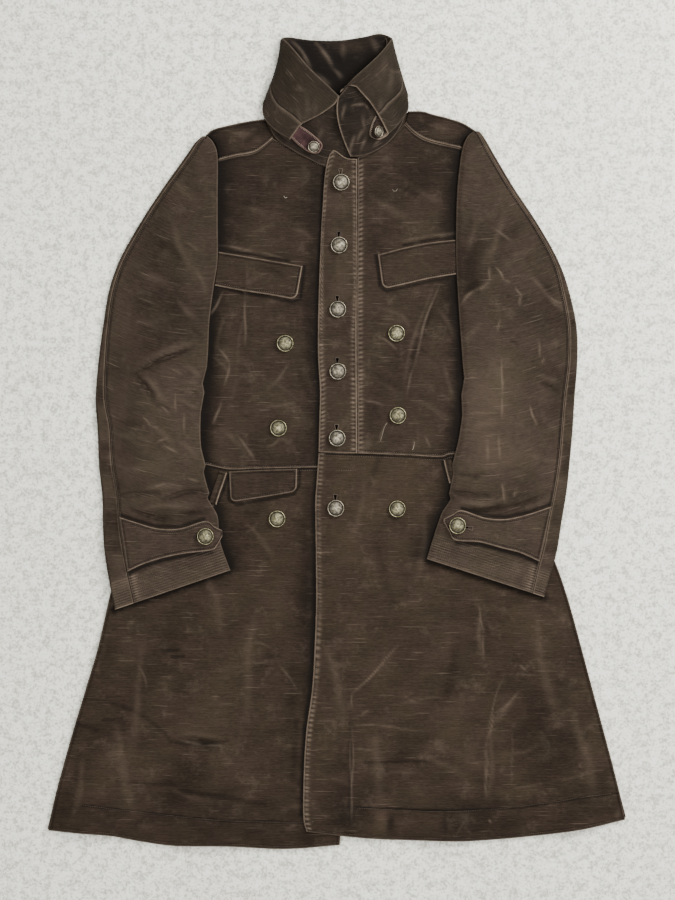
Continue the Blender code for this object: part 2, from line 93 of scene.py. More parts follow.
ROOM_COLOUR, ROOM_STRENGTH = (1.0, 0.995, 0.95, 1), 0.70
world = bpy.data.worlds.new("studio")
world.use_nodes = True
room = world.node_tree.nodes["Background"]
room.inputs["Color"].default_value = ROOM_COLOUR
room.inputs["Strength"].default_value = ROOM_STRENGTH
bpy.context.scene.world = world


class Weaver:
    """Adds shader nodes to a material or a group and joins them up."""

    def __init__(self, tree):
        self.tree = tree

    def node(self, kind, settings=None, **sockets):
        made = self.tree.nodes.new(kind)
        for key, value in (settings or {}).items():
            setattr(made, key, value)
        for key, value in sockets.items():
            self.feed(made, key.replace("_", " "), value)
        return made

    def feed(self, made, key, value):
        socket = made.inputs[int(key[1:])] if key[0] == "i" and key[1:].isdigit() else made.inputs[key]
        if isinstance(value, bpy.types.NodeSocket):
            self.tree.links.new(value, socket)
        else:
            socket.default_value = value

    def math(self, how, a, b=0.0, clamp=False):
        made = self.node("ShaderNodeMath", {"operation": how, "use_clamp": clamp}, i0=a, i1=b)
        return made.outputs[0]

    def add(self, a, b, clamp=False):
        return self.math("ADD", a, b, clamp)

    def times(self, a, b):
        return self.math("MULTIPLY", a, b)

    def mix(self, amount, a, b, how="MIX"):
        made = self.node("ShaderNodeMix", {"data_type": "RGBA", "blend_type": how})
        self.feed(made, "i0", amount)
        self.feed(made, "i6", a)
        self.feed(made, "i7", b)
        return made.outputs[2]

    def ramp(self, value, low, high):
        """The value spread so that low gives 0 and high gives 1."""
        made = self.node("ShaderNodeMapRange", {"interpolation_type": "SMOOTHSTEP"})
        self.feed(made, "i0", value)
        self.feed(made, "i1", low)
        self.feed(made, "i2", high)
        return made.outputs[0]

    def noise(self, place, scale, detail=3.0, rough=0.55, distort=0.0):
        made = self.node("ShaderNodeTexNoise", {"noise_dimensions": "3D"}, Vector=place,
                         Scale=scale, Detail=detail, Roughness=rough, Distortion=distort)
        return made.outputs[0]

    def stretched(self, place, size, turn=0.0):
        made = self.node("ShaderNodeMapping", {"vector_type": "POINT"}, Vector=place)
        made.inputs["Scale"].default_value = size
        made.inputs["Rotation"].default_value = (0, 0, turn)
        return made.outputs[0]

    def place(self):
        """Positions in the object's own frame."""
        return self.node("ShaderNodeTexCoord").outputs["Object"]

    def painted(self, label):
        """A number that the mesh carries at each point."""
        return self.node("ShaderNodeAttribute", {"attribute_name": label}).outputs["Fac"]

    def bump(self, shader, height, strength, distance):
        made = self.node("ShaderNodeBump", {}, Height=height, Strength=strength)
        made.inputs["Distance"].default_value = distance
        self.feed(shader, "Normal", made.outputs[0])


def new_material(name):
    """An empty material, with its weaver and its one shader."""
    made = bpy.data.materials.new(name)
    made.use_nodes = True
    made.node_tree.nodes.clear()
    weaver = Weaver(made.node_tree)
    shader = weaver.node("ShaderNodeBsdfPrincipled")
    out = weaver.node("ShaderNodeOutputMaterial")
    made.node_tree.links.new(shader.outputs[0], out.inputs[0])
    return made, weaver, shader


def srgb(red, green, blue):
    """A colour read in 0 to 255, as the linear colour that shaders take."""
    found = []
    for value in (red, green, blue):
        v = value / 255
        found.append(v / 12.92 if v <= 0.04045 else ((v + 0.055) / 1.055) ** 2.4)
    return (*found, 1.0)


def floor_material():
    made, w, shader = new_material("pale_floor")
    place = w.place()
    cloud = w.noise(place, 3.2, 4.0, 0.6)
    spots = w.noise(place, 70.0, 6.0, 0.75)
    fibre = w.noise(place, 240.0, 3.0, 0.7)
    base = w.mix(w.ramp(cloud, 0.35, 0.68), srgb(242, 241, 229), srgb(251, 251, 240))
    base = w.mix(w.times(w.ramp(spots, 0.49, 0.56), 0.90), base, srgb(196, 196, 185))
    base = w.mix(w.times(w.ramp(spots, 0.47, 0.40), 0.90), base, srgb(255, 255, 250))
    base = w.mix(w.times(w.ramp(fibre, 0.50, 0.57), 0.55), base, srgb(255, 255, 252))
    base = w.mix(w.times(w.ramp(fibre, 0.46, 0.39), 0.60), base, srgb(170, 170, 162))
    w.feed(shader, "Base Color", base)
    shader.inputs["Roughness"].default_value = 0.92
    w.bump(shader, fibre, 0.25, 0.0008)
    return made


FLOOR_SIZE, FLOOR_DROP = 6.0, 0.0006
floor_form = bmesh.new()
bmesh.ops.create_grid(floor_form, x_segments=2, y_segments=2, size=FLOOR_SIZE / 2)
floor_mesh = bpy.data.meshes.new("floor")
floor_form.to_mesh(floor_mesh)
floor_form.free()
floor_mesh.transform(Matrix.Translation((0, 0, -FLOOR_DROP)))
floor_mesh.materials.append(floor_material())
floor = placed("floor", floor_mesh)

# The back: one bodice panel and one flared skirt panel in brown waxed moleskin, flat on the
# floor under everything else. They are sewn to the fronts at the sides and shoulders.
WALL = 2.0
SEAM = 0.6
BACK_STEP = 8
FINE = [0.0, 0.5, 1.1, 1.9, 2.9, 4.1, 5.6, 7.4, 9.6]

# Columns: height, half width at the wearer's right, half width at the left
SIDES = [
    (466, 197, 208), (459, 195, 200), (452, 187, 193), (445, 182, 189), (438, 180, 188), (425, 178, 186),
    (330, 190, 191), (214, 247, 250), (90, 252, 254), (-32, 257, 259), (-118, 302, 304), (-224, 338, 344),
    (-316, 359, 369), (-395, 383, 390), (-469, 405, 410), (-533, 422, 426), (-583, 433, 434),
]
BACK_TOP = [(-196, 459), (-178, 469), (-143, 477), (-108, 482), (-60, 485), (0, 484),
            (60, 488), (108, 493), (146, 489), (184, 478), (208, 466)]
BACK_WAIST = [(-257, -32), (-190, -31), (-125, -31), (-60, -31), (0, -31),
              (60, -31), (125, -31), (190, -31), (259, -32)]
BACK_HEM = [(-433, -581), (-330, -586), (-220, -590), (-110, -592), (0, -592),
            (110, -590), (220, -584), (330, -575), (434, -563)]


def along(rows, t, corner=None):
    """Points at the shares t on a smooth curve through the rows; a corner row stays sharp."""
    rows = np.array(rows, float)
    t = np.atleast_1d(np.asarray(t, float))
    spans = len(rows) - 1
    at = np.clip((t * spans).astype(int), 0, spans - 1)
    f = (t * spans - at)[:, None]
    start, end = rows[at], rows[at + 1]
    before, after = rows[np.maximum(at - 1, 0)], rows[np.minimum(at + 2, spans)]
    corner = -1 if corner is None else corner
    sharp_in = (at == 0) | (at == corner)
    sharp_out = (at == spans - 1) | (at + 1 == corner)
    enter = np.where(sharp_in[:, None], end - start, (end - before) / 2)
    leave = np.where(sharp_out[:, None], end - start, (after - start) / 2)
    return ((2 * f**3 - 3 * f**2 + 1) * start + (f**3 - 2 * f**2 + f) * enter
            + (3 * f**2 - 2 * f**3) * end + (f**3 - f**2) * leave)


def smooth(value):
    """A step from 0 to 1 with soft ends."""
    value = np.clip(value, 0.0, 1.0)
    return value * value * (3 - 2 * value)


def side_x(y, side):
    """Half width of the coat's body at the height y."""
    column = 1 if side == "right" else 2
    table = np.array(SIDES[::-1], float)
    return np.interp(y, table[:, 0], table[:, column])


def side_edge(top, bottom, side):
    """Points down the side edge between two heights."""
    levels = np.linspace(top, bottom, 13)
    return np.stack([(-1 if side == "right" else 1) * side_x(levels, side), levels], 1)


def ticks(length, step, first=False, last=False):
    """Shares of a length, close together near a finished edge."""
    count = max(2, int(round(length / step)))
    marks = set(np.round(np.linspace(0, length, count + 1), 3))
    fine = [m for m in FINE if m < 0.45 * length]
    if first:
        marks = {m for m in marks if m > fine[-1] + 1} | set(fine)
    if last:
        marks = {m for m in marks if m < length - fine[-1] - 1} | {length - m for m in fine}
    return np.array(sorted(marks)) / length


def patch(top, bottom, first, last, u, v, corner=None):
    """Points of a panel between its four edges, for the shares u across and v down."""
    top, bottom = np.array(top, float), np.array(bottom, float)
    first = np.vstack([top[:1], np.array(first, float)[1:-1], bottom[:1]])
    last = np.vstack([top[-1:], np.array(last, float)[1:-1], bottom[-1:]])
    if u.ndim == 1:
        u, v = np.meshgrid(u, v)
    upper, lower, near, far = (
        along(edge, share.ravel(), sharp).reshape(*u.shape, 2) for edge, share, sharp in
        ((top, u, corner), (bottom, u, None), (first, v, None), (last, v, None)))
    uu, vv = u[..., None], v[..., None]
    flat = ((1 - uu) * (1 - vv) * top[0] + uu * (1 - vv) * top[-1]
            + (1 - uu) * vv * bottom[0] + uu * vv * bottom[-1])
    return (1 - vv) * upper + vv * lower + (1 - uu) * near + uu * far - flat


def distances(points):
    """How far each point is from the four edges, along the grid: left, right, top, bottom."""
    across = np.linalg.norm(np.diff(points, axis=1), axis=2)
    down = np.linalg.norm(np.diff(points, axis=0), axis=2)
    left = np.pad(np.cumsum(across, 1), ((0, 0), (1, 0)))
    top = np.pad(np.cumsum(down, 0), ((1, 0), (0, 0)))
    return left, left[:, -1:] - left, top, top[-1:] - top


def underside(index, wide):
    """Wide faces for the hidden side of a wall; only those at its rim take in every point."""
    rows, columns = index.shape
    down = [*range(0, rows - 1, wide), rows - 1]
    across = [*range(0, columns - 1, wide), columns - 1]
    faces = []
    for a, b in zip(down, down[1:]):
        for c, d in zip(across, across[1:]):
            near = index[a:b + 1, c] if c == 0 else index[[a, b], c]
            far = index[a:b + 1, d] if d == columns - 1 else index[[a, b], d]
            head = index[a, c:d + 1] if a == 0 else index[a, [c, d]]
            foot = index[b, c:d + 1] if b == rows - 1 else index[b, [c, d]]
            faces.append([*near, *foot[1:], *far[::-1][1:], *head[::-1][1:-1]][::-1])
    return faces


def shell(name, top, under, finish, wear=None, shade_and_tone=None, wide=4, straight=False):
    """A closed cloth wall between two equal grids of points in millimetres.

    The first grid is the side that shows; the other has faces some steps wide. Wear and the
    shading number are grids too, or a pair of grids, one for each side; the shading number holds
    painted shade and painted light besides the cloth's own lighter and darker places. A straight
    piece has its threads level; otherwise they follow the grid."""
    rows, columns = top.shape[:2]
    count = rows * columns
    points = np.concatenate([top.reshape(-1, 3), under.reshape(-1, 3)]) * MM
    index = np.arange(count).reshape(rows, columns)
    quads = np.stack([index[:-1, :-1], index[1:, :-1], index[1:, 1:], index[:-1, 1:]], 2)
    quads = quads.reshape(-1, 4)
    lower = underside(index + count, wide)
    loop = np.concatenate([index[:, 0], index[-1, 1:], index[-2::-1, -1], index[0, -2::-1]])
    here, there = loop[:-1], loop[1:]
    rim = np.stack([there, here, here + count, there + count], 1)
    sizes = np.array([4] * len(quads) + [len(face) for face in lower] + [4] * len(rim))
    corners = np.concatenate([quads.ravel(), np.concatenate(lower), rim.ravel()])
    used, faces = np.unique(corners, return_inverse=True)
    points = points[used]
    mesh = bpy.data.meshes.new(name)
    mesh.vertices.add(len(points))
    mesh.vertices.foreach_set("co", points.ravel())
    mesh.loops.add(len(faces))
    mesh.loops.foreach_set("vertex_index", faces.astype(np.int32))
    mesh.polygons.add(len(sizes))
    starts = np.concatenate([[0], np.cumsum(sizes)[:-1]])
    mesh.polygons.foreach_set("loop_start", starts.astype(np.int32))
    mesh.update(calc_edges=True)
    across, _, down, _ = distances(top)
    middle = across[:, columns // 2][:, None]
    grain = top[..., :2] if straight else np.stack([(across - middle), -down], 2)
    grain = grain.reshape(-1, 2) * MM
    grain = np.concatenate([grain, grain])[used]
    layer = mesh.uv_layers.new(name="grain")
    layer.uv.foreach_set("vector", grain[faces].ravel())
    for label, values in (("wear", wear), ("shade_and_tone", shade_and_tone)):
        values = np.zeros((rows, columns)) if values is None else values
        shown, hidden = values if isinstance(values, tuple) else (values, values)
        spread = mesh.attributes.new(label, "FLOAT", "POINT")
        spread.data.foreach_set("value", np.concatenate([shown.ravel(), hidden.ravel()])[used])
    mesh.shade_smooth()
    mesh.materials.append(finish)
    return placed(name, mesh)


def dress(piece, node):
    """The piece stands for its solid, which is hidden."""
    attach(piece, "root")
    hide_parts(node)


def group(name, inputs, outputs):
    """An empty shader group with named number inputs and outputs."""
    made = bpy.data.node_groups.new(name, "ShaderNodeTree")
    for label, value in inputs:
        kind = "NodeSocketVector" if value is None else "NodeSocketFloat"
        socket = made.interface.new_socket(name=label, in_out="INPUT", socket_type=kind)
        if value is not None:
            socket.default_value = value
    for label in outputs:
        made.interface.new_socket(name=label, in_out="OUTPUT", socket_type="NodeSocketFloat")
    w = Weaver(made)
    return made, w, w.node("NodeGroupInput"), w.node("NodeGroupOutput")


def slub_group():
    """Fine threads across the cloth with a few thick ones, as moleskin shows under wax."""
    made, w, given, out = group("slub", [("Grain", None)], ["Threads", "Streaks", "Weave"])
    grain = given.outputs["Grain"]
    short = w.noise(w.stretched(grain, (130, 760, 1)), 1.0, 3.0, 0.6)
    long = w.noise(w.stretched(grain, (26, 430, 1)), 1.0, 3.0, 0.55)
    sparse = w.noise(w.stretched(grain, (21, 520, 1)), 1.0, 1.0, 0.5)
    threads = w.add(w.times(short, 0.6), w.times(long, 0.4))
    w.feed(out, "Threads", w.ramp(threads, 0.32, 0.68))
    w.feed(out, "Streaks", w.ramp(sparse, 0.66, 0.76))
    w.feed(out, "Weave", w.noise(grain, 1900.0, 2.0, 0.5))
    return made


def scuff_group():
    """Thin chalky lines and rubbed patches where the waxed cloth has been creased."""
    made, w, given, out = group("scuffs", [("Place", None), ("Seed", 0.0)], ["Lines", "Patches"])
    shift = w.node("ShaderNodeVectorMath", {"operation": "ADD"})
    w.feed(shift, "i0", given.outputs["Place"])
    w.feed(shift, "i1", given.outputs["Seed"])
    place = shift.outputs[0]
    lines = None
    for turn, scale in ((0.5, 6.0), (-0.7, 8.0), (1.35, 5.0)):
        streak = w.noise(w.stretched(place, (1.0, 9.0, 1.0), turn), scale, 1.0, 0.4, 0.1)
        near = w.math("ABSOLUTE", w.math("SUBTRACT", streak, 0.5))
        line = w.ramp(near, 0.010, 0.0)
        gate = w.ramp(w.noise(place, 9.0 + scale, 2.0, 0.5), 0.58, 0.68)
        line = w.times(line, gate)
        lines = line if lines is None else w.math("MAXIMUM", lines, line)
    patches = w.ramp(w.noise(place, 34.0, 6.0, 0.72), 0.52, 0.74)
    w.feed(out, "Lines", lines)
    w.feed(out, "Patches", patches)
    return made


def rubbed_group():
    """Uneven wear along an edge: the painted mask broken up by noise."""
    made, w, given, out = group("rubbed_edge", [("Place", None), ("Wear", 0.0)], ["Mask"])
    breaks = w.noise(given.outputs["Place"], 70.0, 4.0, 0.62)
    fine = w.noise(given.outputs["Place"], 420.0, 2.0, 0.6)
    whole = w.add(w.times(w.ramp(breaks, 0.30, 0.62), 0.45), 0.55)
    amount = w.times(given.outputs["Wear"], whole)
    amount = w.times(amount, w.add(w.times(fine, 0.7), 0.65))
    w.feed(out, "Mask", w.math("MINIMUM", amount, 1.0))
    return made


SLUB, SCUFF, RUBBED = slub_group(), scuff_group(), rubbed_group()
OLIVE_CAST = (0.93, 1.0, 0.90, 1.0)
# The first colour is the near-black of painted shade; the second is the pale of rubbed wear.
PAINTED_SHADE_DARK, RUBBED_PALE = srgb(11, 7, 5), srgb(134, 118, 104)


def cloth_material(name, dark, light, seed, roughness=0.80, scuffed=1.0, slubbed=0.60):
    """Waxed moleskin: brown nap with slubs, painted shade and painted light, and pale rubbed edges."""
    made, w, shader = new_material(name)
    place = w.place()
    grain = w.node("ShaderNodeUVMap", {"uv_map": "grain"}).outputs[0]
    wear = w.painted("wear")
    shade_and_tone = w.painted("shade_and_tone")
    slub = w.node("ShaderNodeGroup", {"node_tree": SLUB}, Grain=grain)
    scuff = w.node("ShaderNodeGroup", {"node_tree": SCUFF}, Place=place, Seed=seed)
    edge = w.node("ShaderNodeGroup", {"node_tree": RUBBED}, Place=place, Wear=wear)
    cloud = w.noise(place, 13.0, 6.0, 0.68)
    warmth = w.noise(place, 24.0, 4.0, 0.6)
    blend = w.add(w.times(w.ramp(cloud, 0.30, 0.70), 0.34),
                  w.times(slub.outputs["Threads"], slubbed))
    # Values above zero are painted light, besides the cloth's own lighter places.
    blend = w.add(blend, w.times(shade_and_tone, 0.8), clamp=True)
    colour = w.mix(blend, dark, light)
    colour = w.mix(w.ramp(warmth, 0.40, 0.62), colour, OLIVE_CAST, "MULTIPLY")
    fuzz = w.times(scuff.outputs["Patches"], 0.10 * scuffed)
    colour = w.mix(fuzz, colour, RUBBED_PALE)
    lines = w.add(w.times(scuff.outputs["Lines"], 0.05 * scuffed),
                  w.times(slub.outputs["Streaks"], 0.20))
    colour = w.mix(lines, colour, RUBBED_PALE)
    # Values below zero are painted shade, darkening the cloth towards near-black.
    painted_shade = w.times(w.math("SUBTRACT", 0.0, shade_and_tone, clamp=True), 0.9)
    colour = w.mix(painted_shade, colour, PAINTED_SHADE_DARK)
    colour = w.mix(w.times(edge.outputs["Mask"], 0.85), colour, RUBBED_PALE)
    w.feed(shader, "Base Color", colour)
    rough = w.add(w.times(edge.outputs["Mask"], 0.10),
                  w.add(w.times(cloud, 0.16), roughness - 0.08))
    w.feed(shader, "Roughness", rough)
    shader.inputs["Sheen Weight"].default_value = 0.02
    shader.inputs["Sheen Roughness"].default_value = 0.45
    shader.inputs["Specular IOR Level"].default_value = 0.12
    height = w.add(w.times(slub.outputs["Threads"], 0.55), w.times(slub.outputs["Weave"], 0.45))
    height = w.add(height, w.times(w.noise(place, 60.0, 4.0, 0.6), 0.6))
    height = w.add(height, w.times(scuff.outputs["Lines"], 0.25))
    w.bump(shader, height, 0.55, 0.0009)
    return made


BODY_CLOTH = cloth_material("bodice_cloth", srgb(28, 19, 14), srgb(56, 45, 38), 0.0)
SKIRT_CLOTH = cloth_material("skirt_cloth", srgb(30, 21, 15), srgb(59, 47, 39), 3.0)


def flat_back(name, top_edge, bottom_edge, levels):
    """A back panel: plain, since it lies hidden on the floor."""
    right = side_edge(levels[0], levels[2], "right")
    left = side_edge(levels[1], levels[3], "left")
    u, v = ticks(520, BACK_STEP), ticks(540, BACK_STEP)
    points = patch(top_edge, bottom_edge, right, left, u, v)
    under = np.dstack([points, np.zeros(points.shape[:2])])
    top = under + [0, 0, WALL]
    piece = shell(name + "_cloth", top, under, BODY_CLOTH if "bodice" in name else SKIRT_CLOTH)
    dress(piece, name)


flat_back("back_bodice", BACK_TOP, BACK_WAIST, (459, 466, -32, -32))
flat_back("back_skirt", [(x, y - SEAM) for x, y in BACK_WAIST], BACK_HEM,
          (-32 - SEAM, -32 - SEAM, -581, -563))

# The under front (the wearer's right): bodice and skirt panels of the same cloth, sewn at the
# waist. The cloth is creased where it was folded, and every edge has a turned, stitched rim.
FRONT_Z = 2.4
RIGHT_NECK_EDGE = [(-178, 421), (-150, 428), (-121, 434), (-95, 454),
                   (-67, 440), (-43, 427), (-18, 416), (26, 411)]
RIGHT_WAIST = [(-257, -41), (-215, -37), (-197, -35), (-161, -42),
               (-123, -41), (-75, -40), (-31, -39), (28, -39)]
RIGHT_HEM = [(-432, -583), (-390, -587), (-341, -591), (-298, -599),
             (-246, -606), (-169, -607), (-77, -611), (5, -605)]
# Columns: start x and y, end x and y, height, half of its reach to each side
SKIRT_FOLDS = [
    (-320, -330, -375, -590, 7.0, 34), (-175, -310, -200, -600, 5.0, 36), (145, -300, 160, -595, 5.0, 36),
    (315, -320, 360, -590, 7.0, 34),
]
# Columns: inner edge x and y, outer edge x and y, width of the strip beyond the hind-arm seam
RIGHT_SLEEVE = [
    (-193, 457, -201, 457, 4), (-184, 447, -212, 447, 5), (-178, 427, -226, 427, 6),
    (-178, 372, -264, 374, 6), (-178, 322, -298, 321, 6), (-178, 272, -325, 272, 6),
    (-184, 230, -341, 226, 6), (-190, 183, -350, 172, 7), (-193, 130, -357, 118, 10),
    (-197, 85, -361, 64, 13), (-201, 45, -358, 15, 18), (-203, 0, -356, -35, 19),
    (-198, -45, -351, -85, 22), (-190, -82, -350, -130, 25), (-178, -112, -347, -170, 28),
    (-174, -150, -340, -212, 29), (-159, -193, -332, -252, 30),
]
LEFT_SLEEVE = [
    (206, 465, 214, 464, 4), (195, 455, 222, 454, 5), (187, 432, 235, 432, 6), (181, 380, 266, 380, 6),
    (179, 324, 303, 324, 6), (179, 272, 332, 272, 6), (181, 230, 348, 228, 9), (184, 183, 360, 172, 11),
    (187, 132, 361, 118, 12), (188, 84, 357, 66, 14), (186, 40, 354, 18, 15), (182, 0, 350, -28, 15),
    (174, -45, 345, -75, 17), (168, -82, 337, -122, 19), (157, -108, 331, -160, 20),
    (146, -140, 322, -195, 20), (135, -176, 311, -233, 18),
]


def away_from(x, y, x0, y0, x1, y1):
    """Distance to a straight line piece, and the share of it passed."""
    dx, dy = x1 - x0, y1 - y0
    f = ((x - x0) * dx + (y - y0) * dy) / (dx * dx + dy * dy)
    inside = np.clip(f, 0, 1)
    return np.hypot(x - x0 - inside * dx, y - y0 - inside * dy), inside


def ridge(x, y, folds):
    """Height of the large soft folds, the same as in the solids."""
    total = np.zeros_like(x)
    for x0, y0, x1, y1, height, width in folds:
        away, _ = away_from(x, y, x0, y0, x1, y1)
        total += height * smooth(1 - away / (2 * width))
    return total


def creases(x, y, table):
    """Creases given one by one. Columns: start x, start y, end x, end y, sideways bow, height, width.

    A height below zero is a trough. Each fades at its ends and wanders a little."""
    total = np.zeros_like(x)
    for number, (x0, y0, x1, y1, bow, height, width) in enumerate(table):
        length = math.hypot(x1 - x0, y1 - y0)
        away_x, away_y = -(y1 - y0) / length, (x1 - x0) / length
        f = ((x - x0) * (x1 - x0) + (y - y0) * (y1 - y0)) / length**2
        inside = np.clip(f, 0, 1)
        wander = bow * 4 * inside * (1 - inside)
        wander = wander + 0.05 * length * np.sin(6.3 * inside + number) * inside * (1 - inside)
        px = x0 + inside * (x1 - x0) + away_x * wander
        py = y0 + inside * (y1 - y0) + away_y * wander
        away = np.hypot(x - px, y - py)
        fade = np.sin(math.pi * np.clip(inside * 0.94 + 0.03, 0, 1)) ** 0.8
        wide = width * (0.75 + 0.5 * inside)
        total += height * fade * np.exp(-((away / wide) ** 2))
    return total


def strokes(x, y, table):
    """Shaded lines through several points. Each row is the points, an amount and a width."""
    total = np.zeros_like(x)
    for route, amount, width in table:
        for (x0, y0), (x1, y1) in zip(route, route[1:]):
            away, _ = away_from(x, y, x0, y0, x1, y1)
            total = np.maximum(total, amount * np.exp(-((away / width) ** 2)))
    return total


MARK_SPREAD, MARK_STEP = 437.58, 12.99


def pucker(run, reach, seed, pitch=6.6):
    """Short ridges across a stitched seam; run is along it and reach is away from it.

    The mark is a number that jumps from one ridge to the next, so that each has its own height."""
    beat = run / pitch + 0.35 * np.sin(run / 23.0 + seed) + 0.25 * np.sin(run / 61.0 + 2 * seed)
    mark = MARK_SPREAD * np.sin(MARK_STEP * np.round(beat) + seed)
    strong = 0.40 + 0.60 * (mark - np.floor(mark))
    wave = 0.5 + 0.5 * np.cos(2 * math.pi * beat)
    return strong * wave**1.6 * np.exp(-(((reach - 5.2) / 3.4) ** 2))


def rounded(gap):
    """Share of the wall's height left this near to an edge."""
    return 1 - 0.75 * (1 - np.clip(gap / 1.3, 0, 1)) ** 2


def edge_relief(gap):
    """A turned and stitched edge: a slightly raised rim, then the groove of the stitches."""
    rim = 0.45 * np.exp(-(((gap - 1.4) / 1.1) ** 2))
    groove = -0.40 * np.exp(-(((gap - 4.3) / 1.1) ** 2))
    return rim + groove


def edge_wear(gap, strength=1.0):
    """Pale rubbed wear, strongest on the rim itself."""
    return strength * np.exp(-((np.maximum(gap - 0.6, 0) / 1.0) ** 2))


def patches_of(x, y, table):
    """Soft lighter or darker places. Columns: x, y, half width, half height, amount."""
    total = np.zeros_like(x)
    for cx, cy, rx, ry, amount in table:
        total += amount * np.exp(-(((x - cx) / rx) ** 2 + ((y - cy) / ry) ** 2))
    return total


def sleeve_shadow(x, y):
    """Painted shadow on the fronts beside each sleeve and below each cuff."""
    total = np.zeros_like(x)
    for way, table in ((-1, RIGHT_SLEEVE), (1, LEFT_SLEEVE)):
        rows = np.array(table, float)[::-1]
        inner = np.interp(y, rows[:, 1], rows[:, 0])
        gap = np.maximum(way * (inner - x), 0)
        beside = 0.55 * np.exp(-((gap / 21.0) ** 2)) + 0.6 * np.exp(-((gap / 8.0) ** 2))
        away, _ = away_from(x, y, *rows[0, :4])
        below = 0.85 * np.exp(-((away / 6.0) ** 2))
        total = np.maximum(total, np.maximum(beside * smooth((y - rows[0, 1] + 6) / 12), below))
    return total


# The second and last numbers paint light on ridges and shade in troughs, of the creases and of the
# rumples.
LINE_PALE, RELIEF_SHADING, PUCKER_LIFT, DRIFT, DRIFT_SHADING = 0.52, 0.20, 0.8, 0.35, 0.10


def panel(node, cloth, points, under, table, edges, tones, seed, puckered=(), lines=(),
          shades=()):
    """A laid panel between its four edges, as a cloth piece that stands for its solid.

    edges names the finished sides in order left, right, top, bottom, each with its wear; a
    number below zero is a seam that only gets a painted shadow line. lines are pale rubbed
    creases and shades are painted shadow lines where another piece lies on this one."""
    x, y = points[..., 0], points[..., 1]
    sides = distances(points)
    base = under(x, y)
    fine = creases(x, y, table)
    relief = fine.copy()
    wear = LINE_PALE * np.clip(creases(x, y, lines), 0, 1)
    # Painted light on crease ridges and painted shade in their troughs, then painted shadow beside the
    # sleeves and along the shades.
    shade_and_tone = patches_of(x, y, tones) + RELIEF_SHADING * np.clip(fine, -1.8, 0.8)
    shade_and_tone -= np.maximum(sleeve_shadow(x, y), strokes(x, y, shades))
    nearest = np.minimum.reduce(sides)
    for gap, worn in zip(sides, edges):
        if worn > 0:
            relief += edge_relief(gap)
            wear = np.maximum(wear, edge_wear(gap, worn))
            # Painted shade in the groove of the stitches.
            shade_and_tone -= 0.35 * np.exp(-(((gap - 3.8) / 1.3) ** 2))
        elif worn < 0:
            # Painted shadow line along the seam.
            shade_and_tone += worn * np.exp(-((gap / 2.0) ** 2))
    for side in puckered:
        run = sides[2] if side < 2 else sides[0]
        lift = pucker(run, sides[side], seed + side)
        relief += PUCKER_LIFT * lift
        wear = np.maximum(wear, PUCKER_LIFT * lift)
    drift = (np.sin(x / 31 + seed) * np.sin(y / 43 + 2 * seed)
             + 0.5 * np.sin(x / 13 - y / 19 + seed)
             + 0.6 * np.sin(y / 5.2 + 2.2 * np.sin(x / 24 + seed)) * np.sin(x / 17 + y / 29))
    relief += DRIFT * drift * smooth(nearest / 20)
    # Painted light and shade on the rumples.
    shade_and_tone += DRIFT_SHADING * drift * smooth(nearest / 20)
    wear = np.maximum(wear, 0.07 * np.clip(fine, 0, 1))
    top = np.dstack([x, y, base + WALL * rounded(nearest) + relief * smooth(nearest / 1.2)])
    bottom = np.dstack([x, y, base])
    piece = shell(node + "_cloth", top, bottom, cloth, wear, shade_and_tone, straight=True)
    dress(piece, node)


def front_under(x, y):
    """Height on which the under front lies: the back panels with their soft folds."""
    return FRONT_Z + ridge(x, y, SKIRT_FOLDS)


RIGHT_BODICE_CREASES = [
    (-143, 266, -134, 210, 2, 0.7, 2.2), (-134, 210, -150, 104, -3, 0.6, 2.4),
    (-150, 104, -168, 40, 4, 0.5, 2.6), (-165, 190, -182, 132, -3, 0.8, 3.0),
    (-186, 128, -158, 96, 2, 0.7, 2.6), (-160, 60, -118, 22, -3, -0.8, 4.0),
    (-112, 92, -58, 60, 5, 0.6, 3.0), (-150, 350, -96, 338, 3, 0.6, 4.0),
    (-96, 338, -60, 356, -3, -0.6, 4.5), (-130, 310, -88, 325, 2, 0.7, 3.0),
    (-70, 320, -36, 300, 4, 0.6, 3.5), (-110, 170, -60, 176, 2, 0.4, 2.2),
    (-105, 8, -60, -10, 3, 0.7, 3.2), (-180, 20, -135, -20, 4, 0.9, 4.0),
    (-60, 120, -36, 60, -4, -0.7, 6.0), (-55, 240, -40, 130, 3, -0.8, 7.0),
]
# The long dark strip beside the over front's edge is painted shadow.
RIGHT_BODICE_TONES = [
    (-32, 200, 13, 260, -0.45), (-105, 330, 40, 50, 0.12), (-160, 60, 22, 120, 0.25),
    (-105, 60, 34, 70, 0.10), (-100, 380, 90, 60, -0.22),
]
u, v = ticks(290, 2.0, last=True), ticks(455, 2.0, first=True, last=True)
points = patch(RIGHT_NECK_EDGE, RIGHT_WAIST, side_edge(421, -41, "right"),
               [(26, 411), (28, 200), (28, -39)], u, v, corner=3)
RIGHT_BODICE_SHADES = [
    ([(-180, 231), (-143, 223), (-103, 217), (-66, 209), (-54, 214), (-48, 262)], 0.70, 2.2),
    ([(-178, 288), (-133, 281), (-92, 274), (-70, 270)], 0.75, 1.6),
    ([(-16, 419), (-22, 350), (-29, 214), (-30, 134), (-27, 77), (-28, 30), (-29, -40)], 0.75, 3.5),
]
